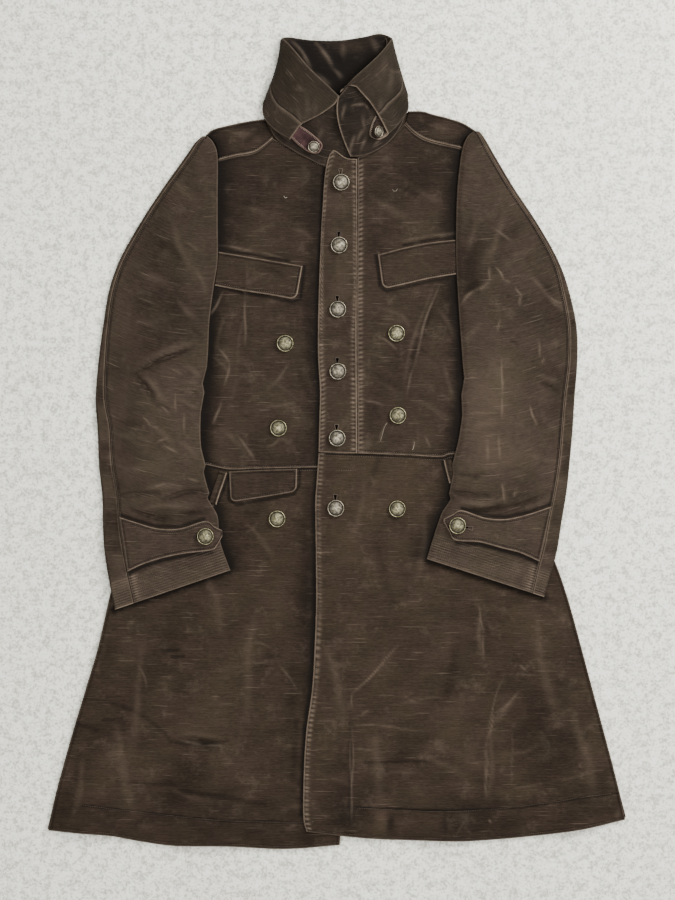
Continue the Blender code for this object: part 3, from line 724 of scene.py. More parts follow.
RIGHT_BODICE_LINES = [
    (-177, 294, -120, 284, 1, 0.5, 1.5), (-120, 284, -80, 275, 1, 0.35, 1.4),
    (-143, 266, -137, 221, 0, 0.7, 1.6), (-137, 221, -137, 144, 0, 0.5, 1.5),
    (-170, 224, -189, 190, 1, 0.6, 1.5), (-178, 140, -160, 118, 1, 0.5, 1.6),
    (-160, 118, -168, 84, 1, 0.5, 1.6), (-172, 60, -186, 26, 1, 0.6, 1.6),
    (-150, 10, -122, -30, 2, 0.4, 2.0), (-104, -8, -84, 8, -3, 0.4, 1.5),
    (-70, 120, -104, 78, 3, 0.3, 1.8), (-60, 60, -110, 52, 2, 0.3, 1.8),
]
panel("right_front_bodice", BODY_CLOTH, points, front_under, RIGHT_BODICE_CREASES,
      (0, 0, 0.35, 0.8), RIGHT_BODICE_TONES, 1.3, (), RIGHT_BODICE_LINES, RIGHT_BODICE_SHADES)

RIGHT_SKIRT_CREASES = [
    (-240, -449, -169, -457, 4, -1.6, 7.0), (-238, -440, -172, -446, 3, 1.2, 4.5),
    (-295, -300, -310, -470, 6, 0.9, 5.0), (-120, -250, -135, -420, -5, 0.9, 6.0),
    (-64, -280, -92, -520, 7, -1.1, 9.0), (-205, -180, -170, -300, 5, 0.8, 6.0),
    (-330, -420, -300, -560, -6, 1.0, 7.0), (-140, -120, -92, -180, 4, 0.8, 4.0),
    (-160, -340, -60, -330, 6, 0.6, 3.5), (-250, -520, -180, -540, -4, 0.7, 4.0),
    (-380, -470, -395, -560, 3, 0.9, 5.0), (-100, -560, -40, -545, 3, 0.6, 3.5),
]
# The long dark strip beside the over front's edge is painted shadow.
RIGHT_SKIRT_TONES = [
    (-42, -300, 14, 330, -0.40), (-150, -420, 60, 70, 0.12), (-330, -470, 50, 70, 0.10),
    (-90, -110, 40, 40, 0.08), (-260, -330, 40, 60, -0.08), (-210, -560, 220, 50, -0.18),
    (-200, -429, 34, 15, 0.25), (-190, -395, 40, 20, 0.10), (-330, -440, 60, 20, -0.15),
]
RIGHT_SKIRT_SHADES = [
    ([(-163, -48), (-162, -88), (-150, -95), (-125, -90), (-94, -85), (-64, -79), (-56, -66),
      (-55, -44)], 0.7, 2.2),
    ([(-161, -50), (-167, -66), (-173, -82), (-179, -97)], 0.9, 2.4),
    ([(-30, -40), (-34, -95), (-33, -254), (-38, -362), (-47, -430), (-52, -560)], 0.75, 3.5),
    ([(-382, -544), (-290, -556), (-168, -568), (-54, -571)], 0.65, 1.2),
    ([(-379, -385), (-338, -391), (-301, -404), (-274, -423), (-246, -449)], 0.22, 3.0),
    ([(-240, -451), (-200, -454), (-163, -449)], 0.42, 2.6), ([(-350, -417), (-322, -415)], 0.3, 2),
    ([(-262, -313), (-236, -312)], 0.45, 2.0), ([(-247, -323), (-229, -322)], 0.5, 2.0),
    ([(-328, -509), (-290, -513), (-243, -513)], 0.26, 3.2), ([(-60, -420), (-66, -500)], 0.3, 5.0),
    ([(-230, -524), (-170, -532), (-108, -544)], 0.30, 3.4), ([(-400, -420), (-360, -432)], 0.3, 3.0),
]
RIGHT_SKIRT_LINES = [
    (-172, -44, -187, -104, 0, 0.8, 1.4), (-240, -449, -200, -456, 2, 0.5, 1.6),
    (-200, -456, -169, -457, 2, 0.4, 1.6), (-90, -330, -60, -372, 2, 0.3, 1.6),
    (-300, -330, -284, -372, 3, 0.3, 1.6), (-130, -300, -96, -310, 2, 0.25, 1.6),
]
u, v = ticks(450, 2.3, first=True, last=True), ticks(575, 2.3, first=True, last=True)
points = patch([(x, y - SEAM) for x, y in RIGHT_WAIST], RIGHT_HEM,
               side_edge(-41 - SEAM, -583, "right"),
               [(28, -39 - SEAM), (20, -300), (5, -605)], u, v)
panel("right_front_skirt", SKIRT_CLOTH, points, front_under, RIGHT_SKIRT_CREASES,
      (0.12, 0.3, -0.8, 0.30), RIGHT_SKIRT_TONES, 2.1, (), RIGHT_SKIRT_LINES, RIGHT_SKIRT_SHADES)

# The over front (the wearer's left): a separate placket strip with the buttonholes, then the
# bodice panel beyond its double-stitched seam, then a skirt panel that runs under both.
OVERLAP_RISE, NECK_RISE = 2.6, 3.4
STEP_START, STEP_END = 40.0, 85.0
RISE_START, RISE_END = 365.0, 410.0
PLACKET_TOP = [(-10, 431), (-3, 436), (14, 425), (31, 423)]
PLACKET_FOOT = [(-27, -16), (-8, -17), (11, -18), (31, -18)]
PLACKET_EDGE = [(-10, 431), (-14, 419), (-18, 395), (-21, 350), (-23, 317),
                (-27, 214), (-28, 134), (-25, 77), (-26, 30), (-27, -16)]
LEFT_NECK_EDGE = [(31.6, 425), (45, 430), (62, 440), (80, 453),
                  (102, 476), (118, 461), (140, 450), (188, 439)]
LEFT_WAIST = [(31.6, -18), (60, -19), (85, -20), (110, -21),
              (140, -23), (159, -23), (178, -19), (258, -24)]
LEFT_SKIRT_TOP = [(-27, -17), (0, -18), (31, -19), (85, -21),
                  (140, -24), (159, -24), (178, -20), (258, -25)]
LEFT_HEM = [(-45, -585), (5, -591), (60, -596), (125, -598),
            (200, -599), (290, -592), (370, -581), (433, -567)]
SKIRT_EDGE = [(-27, -17), (-30, -60), (-32, -95), (-31, -178), (-31, -254),
              (-36, -362), (-45, -430), (-49, -490), (-50, -560), (-45, -585)]


def over_under(x, y):
    """Height on which the over front lies: up on the under front, then down beside it."""
    step = 1 - np.clip((x - STEP_START) / (STEP_END - STEP_START), 0, 1)
    rise = np.clip((y - RISE_START) / (RISE_END - RISE_START), 0, 1)
    return FRONT_Z + step * (OVERLAP_RISE + rise * NECK_RISE) + ridge(x, y, SKIRT_FOLDS)


PLACKET_CREASES = [
    (-12, 352, 22, 346, 2, 0.5, 3.0), (-16, 250, 24, 262, -3, 0.5, 3.2), (-18, 150, 20, 140, 3, 0.5, 3.0),
    (-14, 50, 26, 58, 2, 0.5, 3.0), (2, 330, 8, 300, 2, -0.5, 5.0), (0, 240, 4, 206, -2, -0.5, 5.0),
]
PLACKET_TONES = [
    (3, 200, 40, 330, 0.20), (4, 310, 10, 9, 0.35), (2, 214, 13, 12, 0.45), (2, 120, 11, 10, 0.35),
    (1, 21, 11, 9, 0.35), (3, 260, 5, 26, 0.3), (7, 404, 9, 7, 0.25),
]
u, v = ticks(57, 1.8, first=True, last=True), ticks(452, 1.8, first=True, last=True)
points = patch(PLACKET_TOP, PLACKET_FOOT, PLACKET_EDGE, [(31, 423), (30, 200), (31, -18)], u, v)
panel("front_placket", BODY_CLOTH, points, over_under, PLACKET_CREASES,
      (1.0, 0.75, 0.9, 0.8), PLACKET_TONES, 0.7, (0, 1))

LEFT_BODICE_CREASES = [
    (155, 236, 105, 68, -6, -1.2, 4.0), (148, 240, 99, 72, -6, 0.9, 3.0),
    (60, 200, 100, 186, 3, 0.8, 3.5), (96, 190, 108, 168, 2, 0.8, 3.0), (40, 132, 75, 122, 2, 0.6, 2.4),
    (88, 40, 76, 10, 3, 0.6, 2.0), (120, 20, 118, -12, 2, 0.6, 2.4), (50, 360, 105, 330, 5, 0.8, 5.0),
    (110, 380, 160, 350, 4, 0.7, 4.5), (70, 320, 130, 310, -4, -0.8, 6.0),
    (150, 200, 176, 150, 4, 0.9, 4.0), (160, 120, 178, 60, -3, 0.8, 4.0),
    (110, 140, 160, 110, 4, -0.8, 6.0), (120, 60, 168, 30, 3, 0.8, 4.5), (60, 90, 90, 70, 3, 0.5, 3.0),
    (45, 390, 80, 410, 2, 0.5, 3.5),
]
LEFT_BODICE_TONES = [
    (110, 205, 34, 60, 0.04), (155, 110, 28, 80, 0.18), (95, 20, 50, 30, 0.10), (100, 350, 50, 30, 0.06),
    (45, 100, 10, 160, 0.08), (110, 400, 90, 50, -0.25),
]
LEFT_BODICE_SHADES = [
    ([(59, 279), (65, 232), (75, 225), (105, 232), (140, 240), (177, 246)], 0.70, 2.2),
    ([(100, 294), (140, 302), (176, 306)], 0.75, 1.6),
]
LEFT_BODICE_LINES = [
    (96, 300, 140, 308, 0, 0.35, 1.4), (140, 308, 177, 312, 0, 0.5, 1.5),
    (155, 236, 116, 113, -3, 0.6, 1.6), (116, 113, 105, 68, -1, 0.45, 1.6), (36, 62, 72, 54, 1, 0.5, 1.5),
    (63, 157, 90, 138, 2, 0.45, 1.8), (76, 28, 66, 1, -3, 0.5, 1.2), (116, 4, 114, -14, 1, 0.5, 1.4),
    (132, 8, 140, -10, 1, 0.4, 1.6), (60, 286, 70, 270, 1, 0.4, 1.8),
]
u, v = ticks(227, 2.0, first=True), ticks(460, 2.0, first=True, last=True)
points = patch(LEFT_NECK_EDGE, LEFT_WAIST, [(31.6, 425), (30.6, 200), (31.6, -18)],
               side_edge(439, -24, "left"), u, v, corner=4)
panel("left_front_bodice", BODY_CLOTH, points, over_under, LEFT_BODICE_CREASES,
      (0.7, 0, 0.35, 0.85), LEFT_BODICE_TONES, 3.4, (0,), LEFT_BODICE_LINES, LEFT_BODICE_SHADES)

LEFT_SKIRT_CREASES = [
    (93, -304, 24, -381, 4, 1.3, 3.0), (90, -310, 20, -388, 4, -1.2, 5.0),
    (217, -248, 220, -328, -5, 1.2, 3.4), (272, -377, 229, -425, 4, 1.1, 3.4),
    (229, -425, 224, -542, 5, 1.0, 3.6), (60, -150, 90, -250, -6, -0.9, 8.0),
    (130, -110, 118, -220, 5, 0.8, 6.0), (40, -60, 22, -150, 4, 0.9, 5.0),
    (180, -280, 150, -420, 7, -1.1, 9.0), (300, -260, 330, -420, -6, 1.0, 7.0),
    (350, -400, 385, -540, 5, 1.0, 7.0), (60, -430, 70, -560, -5, 0.9, 7.0),
    (-20, -300, 10, -420, 4, 0.9, 6.0), (110, -470, 190, -500, 5, 0.8, 4.0),
    (250, -470, 310, -450, -5, 0.8, 4.0), (-30, -500, 30, -520, 4, 0.6, 4.0),
]
# The small upright patches in the hem band paint light and shade on its little folds.
LEFT_SKIRT_TONES = [
    (120, -420, 90, 70, 0.10), (300, -500, 70, 60, 0.06), (20, -250, 30, 120, 0.10),
    (50, -72, 16, 30, 0.25), (370, -330, 60, 120, -0.06), (90, -90, 120, 60, 0.14),
    (230, -560, 230, 50, -0.16), (306, -457, 60, 70, -0.22), (55, -449, 9, 6, 0.4),
    (33, -469, 10, 14, 0.25), (202, -466, 6, 12, 0.25), (251, -472, 8, 16, 0.25),
    (284, -524, 36, 9, 0.35), (67, -567, 7, 14, 0.55), (128, -527, 24, 10, 0.25),
    (199, -530, 20, 10, 0.2), (81, -573, 6, 14, -0.5), (163, -573, 3, 16, -0.4),
    (10, -540, 18, 40, -0.25), (54, -355, 18, 30, 0.12), (165, -315, 6, 40, 0.12),
]
LEFT_SKIRT_SHADES = [
    ([(157, -26), (160, -38), (163, -51), (167, -63)], 0.9, 2.4),
    ([(27, -548), (134, -552), (200, -552)], 0.9, 1.3), ([(42, -481), (134, -479)], 0.4, 2.0),
    ([(200, -552), (275, -549), (367, -534), (428, -527)], 0.6, 1.2),
    ([(21, -414), (21, -572)], 0.3, 3.0), ([(63, -27), (52, -60), (36, -90)], 0.25, 5.0),
]
LEFT_SKIRT_LINES = [
    (26, -424, 144, -435, 1, 0.30, 1.3), (24, -460, 64, -463, 0, 0.35, 1.3),
    (98, -392, 128, -383, 1, 0.3, 1.3), (251, -352, 226, -438, -3, 0.4, 1.2),
    (226, -438, 223, -536, -2, 0.35, 1.2), (272, -374, 236, -416, 2, 0.4, 1.2),
    (263, -432, 263, -518, 0, 0.2, 1.5), (260, -521, 312, -512, 0, 0.25, 1.6),
    (312, -512, 404, -490, 0, 0.2, 1.6), (22, -414, 22, -572, 0, 0.35, 1.2),
    (93, -304, 24, -377, 2, 0.6, 1.3), (24, -377, 24, -398, -2, 0.4, 1.4),
    (24, -425, 23, -564, 0, 0.4, 1.3), (26, -426, 58, -425, 1, 0.4, 1.3),
    (214, -245, 220, -285, -1, 0.5, 1.4), (220, -285, 220, -328, 0, 0.4, 1.4),
    (272, -377, 236, -408, 2, 0.5, 1.3), (236, -408, 226, -447, 1, 0.5, 1.3),
    (226, -447, 224, -540, 0, 0.4, 1.3), (285, -344, 274, -334, 0, 0.4, 1.4),
    (245, -350, 306, -350, 1, 0.3, 1.3), (95, -394, 152, -382, 1, 0.3, 1.4),
    (228, -566, 232, -572, 0, 0.5, 1.6), (36, -412, 50, -402, 1, 0.4, 1.4),
    (60, -500, 128, -497, 2, 0.25, 1.3), (180, -590, 196, -560, 0, 0.2, 1.8),
]
u, v = ticks(470, 2.3, first=True, last=True), ticks(575, 2.3, first=True, last=True)
points = patch([(x, y - SEAM) for x, y in LEFT_SKIRT_TOP], LEFT_HEM,
               [(x, y - SEAM) for x, y in SKIRT_EDGE], side_edge(-25, -566, "left"), u, v)
panel("left_front_skirt", SKIRT_CLOTH, points, over_under,
      LEFT_SKIRT_CREASES, (1.0, 0.12, -0.8, 0.30), LEFT_SKIRT_TONES, 4.2, (0,), LEFT_SKIRT_LINES,
      LEFT_SKIRT_SHADES)

# The shoulder yokes: a curved piece of the same cloth over each shoulder, joined to the front
# panel and topstitched along that lower seam.
RIGHT_SHOULDER = [(-196, 459), (-184, 468), (-161, 474), (-143, 478), (-126, 481),
                  (-108, 483)]
LEFT_SHOULDER = [(107, 495), (128, 495), (146, 490), (166, 485), (190, 477), (208, 466)]
YOKE_CREASES = [
    (-160, 462, -112, 452, 3, 0.9, 5.0), (-140, 446, -106, 466, 3, -0.9, 5.0),
    (118, 482, 170, 462, 3, 0.9, 5.0), (120, 470, 150, 482, 2, -0.9, 4.5),
]
# Painted shade in the hollows near the neck.
YOKE_TONES = [(-120, 470, 30, 16, -0.35), (125, 480, 30, 16, -0.35)]


def make_yoke(side, shoulder, edge, corner, shares, lean):
    """A yoke from the shoulder to its share of the front panel's upper edge."""
    seam = along(edge, np.linspace(*shares, 7), corner) + [lean, SEAM]
    u, v = ticks(95, 2.2), ticks(42, 2.0, first=True, last=True)
    first, last = [shoulder[0], seam[0]], [shoulder[-1], seam[-1]]
    if side == "right":
        first = side_edge(459, 422, side)
    else:
        last = side_edge(466, 440, side)
    points = patch(shoulder, seam, first, last, u, v)
    panel(f"{side}_yoke", BODY_CLOTH, points, front_under, YOKE_CREASES,
          (0, 0, 0.4, 1.0), YOKE_TONES, 5.0 + lean)


make_yoke("right", RIGHT_SHOULDER, RIGHT_NECK_EDGE, 3, (0, 3 / 7), 0.0)
make_yoke("left", LEFT_SHOULDER, LEFT_NECK_EDGE, 4, (4 / 7, 1), SEAM)

# The sleeves: two-piece coat sleeves pressed flat. The under sleeve wraps round the outer edge
# to the hind-arm seam, and the upper sleeve bunches at the elbow and above the cuff.
SLEEVE_Z, SLEEVE_GAP, SLEEVE_LOFT = 5.4, 1.6, 1.4
SLEEVE_TURN = WALL + SLEEVE_GAP / 2
LEDGE, RAMP_END = 12.0, 60.0
CUFF_LENGTH, ROW_PITCH = 42.9, 3.9
# Columns: the same as for the skirt's folds
SLEEVE_FOLDS = [
    (-325, 118, -225, 148, 3.5, 24), (-345, -62, -215, -50, 5.0, 17), (-340, -105, -215, -92, 4.0, 15),
    (-250, 330, -215, 210, 3.0, 26), (-300, 20, -230, 60, 2.5, 24), (335, 150, 240, 120, 3.5, 24),
    (330, -55, 200, -52, 4.5, 17), (320, -92, 205, -84, 3.0, 14), (250, 340, 215, 215, 3.0, 26),
    (320, 30, 240, 55, 2.5, 24),
]
SLEEVE_CREASES = [
    (-214, 140, -303, 101, -3, -2.2, 4.0), (-212, 150, -300, 112, -3, 1.3, 4.5),
    (-303, 101, -273, 56, 3, -2.0, 4.5), (-273, 56, -250, 42, 2, -1.5, 4.0),
    (-292, 100, -262, 60, 3, 1.2, 5.0), (-239, 73, -203, 72, 1, -1.6, 2.4),
    (-236, 88, -206, 84, 2, 1.0, 3.0), (-234, 62, -204, 50, -2, 1.1, 3.5),
    (-228, 112, -204, 96, 2, 1.1, 4.0), (-330, 30, -290, 15, 3, -0.9, 5.0),
    (-335, 10, -300, 0, 2, 0.8, 4.0), (-276, 20, -246, -8, 4, 1.0, 5.0),
    (-240, 0, -205, -30, 3, 1.1, 5.0), (-262, -30, -215, -48, 4, -1.2, 6.0),
    (-325, -45, -268, -40, 3, 0.9, 5.0), (-340, -86, -262, -80, 5, -1.9, 4.0),
    (-300, -76, -230, -70, 4, 1.5, 5.0), (-262, -88, -192, -76, 4, -2.5, 3.5),
    (-312, -98, -250, -116, -5, -1.9, 4.0), (-290, -102, -215, -99, 4, 1.5, 5.0),
    (-240, -113, -190, -107, 3, -1.5, 3.5), (-246, 330, -212, 250, -6, 0.9, 6.0),
    (-214, 262, -196, 220, 2, 1.0, 4.0), (-300, 250, -246, 228, 4, 0.8, 6.0),
    (-300, 180, -262, 165, 3, 0.7, 5.0), (-248, 398, -206, 356, -4, 1.0, 6.0),
    (-240, 214, -206, 180, -3, 1.0, 4.5), (-270, 300, -225, 262, 4, -0.8, 8.0),
    (-320, 220, -275, 200, 3, -0.8, 6.0), (-222, 170, -198, 150, 2, -1.0, 4.0),
    (185, 202, 207, 225, 3, 1.7, 3.0), (207, 225, 229, 238, -2, 1.1, 3.0),
    (229, 238, 229, 262, 1, 0.8, 2.5), (188, 217, 214, 238, 3, -1.9, 4.0),
    (290, 246, 316, 217, 2, 1.2, 4.0), (316, 217, 345, 196, -3, 1.2, 4.0),
    (300, 244, 324, 224, -2, -1.0, 5.0), (255, 151, 272, 144, 1, -1.3, 2.5),
    (303, 87, 332, 74, 1, -1.5, 3.0), (296, 98, 330, 88, 2, 0.9, 4.0),
    (180, -51, 230, -48, -3, -1.8, 4.0), (230, -48, 294, -43, 2, -1.2, 4.5),
    (169, -74, 216, -81, -2, -2.5, 3.5), (216, -81, 232, -83, 0, -1.5, 3.0),
    (184, -90, 240, -92, -4, 1.6, 4.5), (240, -92, 252, -84, 1, 1.2, 3.0),
    (195, -102, 252, -98, -3, -2.3, 3.5), (252, -98, 325, -74, -4, -2.0, 3.5),
    (246, -62, 252, -93, 1, 1.1, 3.0), (262, -84, 270, -72, 0, 0.9, 2.0),
    (330, -30, 290, -20, 2, 0.8, 5.0), (200, 20, 240, 25, 3, 0.7, 5.0), (340, 60, 310, 40, 2, -0.8, 5.0),
    (335, 150, 310, 140, 2, 0.8, 4.0), (250, 340, 215, 262, 5, 0.9, 6.0),
    (300, 290, 250, 262, -4, 0.7, 6.0), (210, 330, 196, 280, -2, 0.9, 5.0),
    (280, 330, 240, 300, 3, -0.9, 8.0), (215, 180, 190, 150, 2, 0.9, 5.0),
    (320, 10, 300, -40, 3, -0.7, 6.0),
]
SLEEVE_LINES = [
    (-264, 54, -250, 43, 0, 0.5, 1.4), (-270, -2, -250, 6, 1, 0.4, 1.4),
    (-259, -5, -237, -18, 0, 0.45, 1.4), (-273, -68, -253, -64, 1, 0.4, 1.4),
    (-223, -55, -206, -60, 0, 0.4, 1.5), (-291, 38, -278, 23, 1, 0.4, 1.4),
    (-278, 23, -266, 20, 0, 0.4, 1.4), (-228, 42, -228, 12, 0, 0.35, 1.4),
    (-241, 73, -241, 43, 0, 0.3, 1.4), (-237, 76, -206, 78, 1, 0.3, 1.4),
    (-248, 109, -231, 101, 0, 0.35, 1.4), (-304, 105, -216, 144, 3, 0.30, 1.4),
    (-230, 300, -205, 285, 1, 0.2, 1.8), (-300, 215, -270, 205, 1, 0.2, 1.8),
    (185, 202, 207, 226, 3, 0.5, 1.5), (207, 226, 229, 240, -2, 0.35, 1.5),
    (229, 240, 229, 262, 1, 0.3, 1.5), (236, 262, 250, 242, 2, 0.4, 1.5),
    (250, 242, 261, 238, 0, 0.35, 1.5), (267, 231, 277, 220, -1, 0.45, 1.5),
    (277, 220, 274, 202, -1, 0.4, 1.5), (245, 183, 240, 164, 0, 0.35, 1.4),
    (247, 126, 248, 68, 0, 0.40, 1.5), (248, 68, 247, 34, 0, 0.35, 1.5),
    (303, 154, 304, 126, 0, 0.35, 1.4), (312, 127, 307, 116, 0, 0.35, 1.4),
    (316, 218, 340, 206, -1, 0.35, 1.5), (289, 56, 300, 24, -1, 0.45, 1.5),
    (243, 10, 244, -26, 0, 0.35, 1.5), (226, 1, 226, -30, 0, 0.25, 2.5),
    (248, -62, 252, -93, -1, 0.4, 1.5), (265, -83, 268, -74, 0, 0.4, 1.4),
    (193, 41, 243, 43, 1, 0.25, 1.5), (232, 320, 262, 300, 1, 0.25, 1.8),
]
SLEEVE_SHADES = [
    ([(-315, -199), (-292, -188), (-262, -178), (-228, -171), (-188, -166)], 0.95, 2.6),
    ([(-322, -110), (-303, -117), (-268, -127), (-234, -127), (-198, -116)], 0.65, 2.4),
    ([(306, -184), (275, -170), (248, -163), (214, -154), (180, -152)], 0.95, 2.6),
    ([(322, -93), (286, -106), (253, -113), (222, -111), (188, -100)], 0.75, 2.4),
]
# Lighter and darker places on the sleeves; most are painted light and painted shade on the sleeves'
# rounded form.
SLEEVE_TONES = [
    (-235, 60, 42, 60, 0.30), (-240, -40, 60, 36, 0.18), (-285, 20, 40, 60, 0.12),
    (-290, 250, 50, 60, -0.06), (-260, -215, 70, 16, 0.36), (-250, 340, 30, 40, 0.06),
    (226, 72, 40, 74, 0.62), (235, -10, 50, 40, 0.34), (215, 190, 18, 30, 0.10),
    (330, 100, 16, 90, -0.08), (200, 260, 16, 40, -0.28), (259, 191, 5, 5, 0.40),
    (250, 300, 50, 60, -0.15), (230, -195, 70, 16, 0.36), (300, -20, 40, 60, 0.08),
    (-240, 180, 40, 60, -0.20), (-260, 330, 50, 60, -0.10), (290, 180, 50, 40, -0.10),
]
# Columns: height, and how far the inner edge moves sideways there
INNER_WAVES = {
    "right": [(-150, 0), (-110, 0), (-85, -4), (-77, 1), (-46, -1), (-35, 3.5), (-10, 0),
              (42, -2), (73, 0.5), (87, -3.5), (112, 0.5), (167, 0), (183, 0)],
    "left": [(-150, 0), (-106, 0), (-86, 4), (-78, -1), (-48, 1), (-35, -3), (0, 0), (40, 2),
             (70, -1), (95, 3), (120, 1), (170, 0)],
}
SLEEVE_CLOTH = cloth_material("sleeve_cloth", srgb(32, 23, 18), srgb(67, 56, 48), 6.0,
                              scuffed=0.7, slubbed=0.44)


def sleeve_under(x, y):
    """Height on which a sleeve lies: on the fronts, and down to the floor beyond them."""
    side = np.where(x < 0, side_x(y, "right"), side_x(y, "left"))
    down = np.clip((np.abs(x) - side - LEDGE) / (RAMP_END - LEDGE), 0, 1)
    return SLEEVE_Z * (1 - down)


def make_upper_sleeve(side, sections):
    """The sleeve's front from its inner edge to the hind-arm seam."""
    inner, outer = sections[:, :2], sections[:, 2:4]
    length = np.linalg.norm(outer - inner, axis=1)
    strip = np.maximum(sections[:, 4], SLEEVE_TURN + 1) + SEAM
    share = ticks(160, 2.1, first=True, last=True)
    reach = (length - strip)[:, None] * (1 - share[None])
    f = reach / length[:, None]
    xy = inner[:, None] + f[..., None] * (outer - inner)[:, None]
    x, y = xy[..., 0], xy[..., 1]
    sides = distances(xy)
    fold = ridge(x, y, SLEEVE_FOLDS) * smooth(4 * f) * smooth(4 * (1 - f))
    under = sleeve_under(x, y) + WALL + SLEEVE_GAP + SLEEVE_LOFT * np.sin(math.pi * f) + fold
    nearest = np.minimum.reduce(sides)
    fine = creases(x, y, SLEEVE_CREASES)
    settle = smooth(nearest / 10)
    relief = 1.5 * fine * settle + edge_relief(sides[0]) + 0.8 * edge_relief(sides[3])
    relief += 0.35 * pucker(sides[2], sides[0], 2.0, 8.0)
    relief += 0.5 * np.sin(x / 23 + y / 37) * np.sin(y / 29) * settle
    slump = 2.4 * (1 - smooth(sides[1] / 9)) * smooth(sides[2] / 60)
    upper = under + WALL * rounded(nearest) + relief * smooth(nearest / 1.2) - slump * 0.9
    top, bottom = np.dstack([x, y, upper]), np.dstack([x, y, under - slump])
    cuff = smooth((CUFF_LENGTH - sides[3]) / 4)
    wave = 0.5 + 0.5 * np.cos(2 * math.pi * sides[3] / ROW_PITCH)
    top[..., 2] += 0.30 * cuff * wave
    ladder = cuff * wave * np.exp(-(((sides[0] - 7.0) / 6.0) ** 2))
    inner_end = cuff * wave * np.exp(-((sides[1] / 22.0) ** 2))
    wear = np.maximum(edge_wear(sides[0], 0.28), edge_wear(sides[3], 0.7))
    wear = np.maximum(wear, 0.06 * np.clip(fine, 0, 1.6))
    wear = np.maximum(wear, 0.72 * np.clip(creases(x, y, SLEEVE_LINES), 0, 1))
    wear = np.maximum(wear, 0.07 * cuff * wave + 0.45 * ladder + 0.12 * inner_end)
    wear = np.maximum(wear, edge_wear(sides[1], 0.22))
    # Painted shade along the inner fold, in crease troughs, between the cuff rows, under the tabs and
    # beside the hind-arm seam, and painted light on the ridges.
    shade_and_tone = patches_of(x, y, SLEEVE_TONES) - 0.06 * (1 - smooth(sides[1] / 8))
    shade_and_tone += 0.17 * np.clip(fine * settle, -2.4, 1.2) - 0.12 * cuff * (1 - wave)
    shade_and_tone -= strokes(x, y, SLEEVE_SHADES)
    shade_and_tone -= 0.8 * np.exp(-(((sides[0] - 3.2) / 1.3) ** 2))
    if side == "left":
        top, bottom, wear, shade_and_tone = top[:, ::-1], bottom[:, ::-1], wear[:, ::-1], shade_and_tone[:, ::-1]
    piece = shell(f"{side}_upper_sleeve_cloth", top, bottom, SLEEVE_CLOTH, wear, shade_and_tone)
    dress(piece, f"{side}_upper_sleeve")


def make_under_sleeve(side, sections):
    """The sleeve's hidden side, which turns round the outer edge as far as the seam."""
    inner, outer = sections[:, :2], sections[:, 2:4]
    length = np.linalg.norm(outer - inner, axis=1)[:, None]
    strip = np.maximum(sections[:, 4], SLEEVE_TURN + 1)[:, None]
    flat = ticks(150, 9.0)[None] * (length - SLEEVE_TURN)
    turn = np.radians(np.linspace(-90, 90, 13)[1:-1])[None]
    over = length - SLEEVE_TURN - ticks(24, 1.6, last=True)[None] * (strip - SLEEVE_TURN)
    grids = []
    for wall in (0.0, WALL):
        radius = SLEEVE_TURN - wall
        reach = np.hstack([flat, length - SLEEVE_TURN + radius * np.cos(turn), over])
        xy = inner[:, None] + (reach / length)[..., None] * (outer - inner)[:, None]
        base = sleeve_under(xy[..., 0], xy[..., 1])
        edge = base[:, flat.shape[1] + 5][:, None]
        lift = np.hstack([base[:, :flat.shape[1]] + wall,
                          edge + SLEEVE_TURN + radius * np.sin(turn) + 0 * length,
                          base[:, -over.shape[1]:] + 2 * SLEEVE_TURN - wall])
        grids.append(np.dstack([xy, lift]))
    outside, inside = grids
    gap = (reach[:, -over.shape[1]:] - (length - strip))
    rim = np.zeros(outside.shape[:2])
    rim[:, -over.shape[1]:] = edge_wear(gap, 0.32)
    x, y = outside[..., 0], outside[..., 1]
    puff = np.zeros_like(x)
    high = y[:, -over.shape[1]:]
    dents = np.sin(high / 17.0) + 0.9 * np.sin(high / 7.3 + 2 * np.sin(high / 31.0))
    puff[:, -over.shape[1]:] = 0.5 * dents * smooth(gap / 5)
    outside[..., 2] += puff + rim * 0.3
    down = distances(outside)[3]
    rim = np.maximum(rim, edge_wear(down, 0.8))
    # Painted light on the puffs of the turned strip and painted shade in their dents.
    shade_and_tone = patches_of(x, y, SLEEVE_TONES) + 0.22 * puff
    wave = 0.5 + 0.5 * np.cos(2 * math.pi * down / ROW_PITCH)
    cuff = smooth((CUFF_LENGTH - down) / 4)
    rim[:, -over.shape[1]:] = np.maximum(rim, 0.22 * cuff * wave)[:, -over.shape[1]:]
    if side == "left":
        outside, inside = outside[:, ::-1], inside[:, ::-1]
        rim, shade_and_tone = rim[:, ::-1], shade_and_tone[:, ::-1]
    piece = shell(f"{side}_under_sleeve_cloth", outside, inside, SLEEVE_CLOTH, rim, shade_and_tone)
    dress(piece, f"{side}_under_sleeve")


SLEEVE_LENGTH, SLEEVE_STEP = 710.0, 2.3
for side, table in (("right", RIGHT_SLEEVE), ("left", LEFT_SLEEVE)):
    marks = np.concatenate([np.arange(0, SLEEVE_LENGTH - CUFF_LENGTH, SLEEVE_STEP),
                            SLEEVE_LENGTH - np.arange(CUFF_LENGTH, -0.1, -ROW_PITCH / 4)])
    sections = along(table, np.minimum(marks / SLEEVE_LENGTH, 1.0))
    waves = np.array(INNER_WAVES[side])
    sections[:, 0] += np.interp(sections[:, 1], waves[:, 0], waves[:, 1])
    make_under_sleeve(side, sections)
    make_upper_sleeve(side, sections)


# The collar: a high stand sewn to the neckline and a wide fall sewn to its top, opened in a V.
# Both are of the coat's cloth. The stand is much creased and is given a darker copy of the
# cloth, painted shade under the fall, and the fall has a stitched band along its outer edge.
FALL_WALL, BACK_CLEAR = 2.4, 2.45
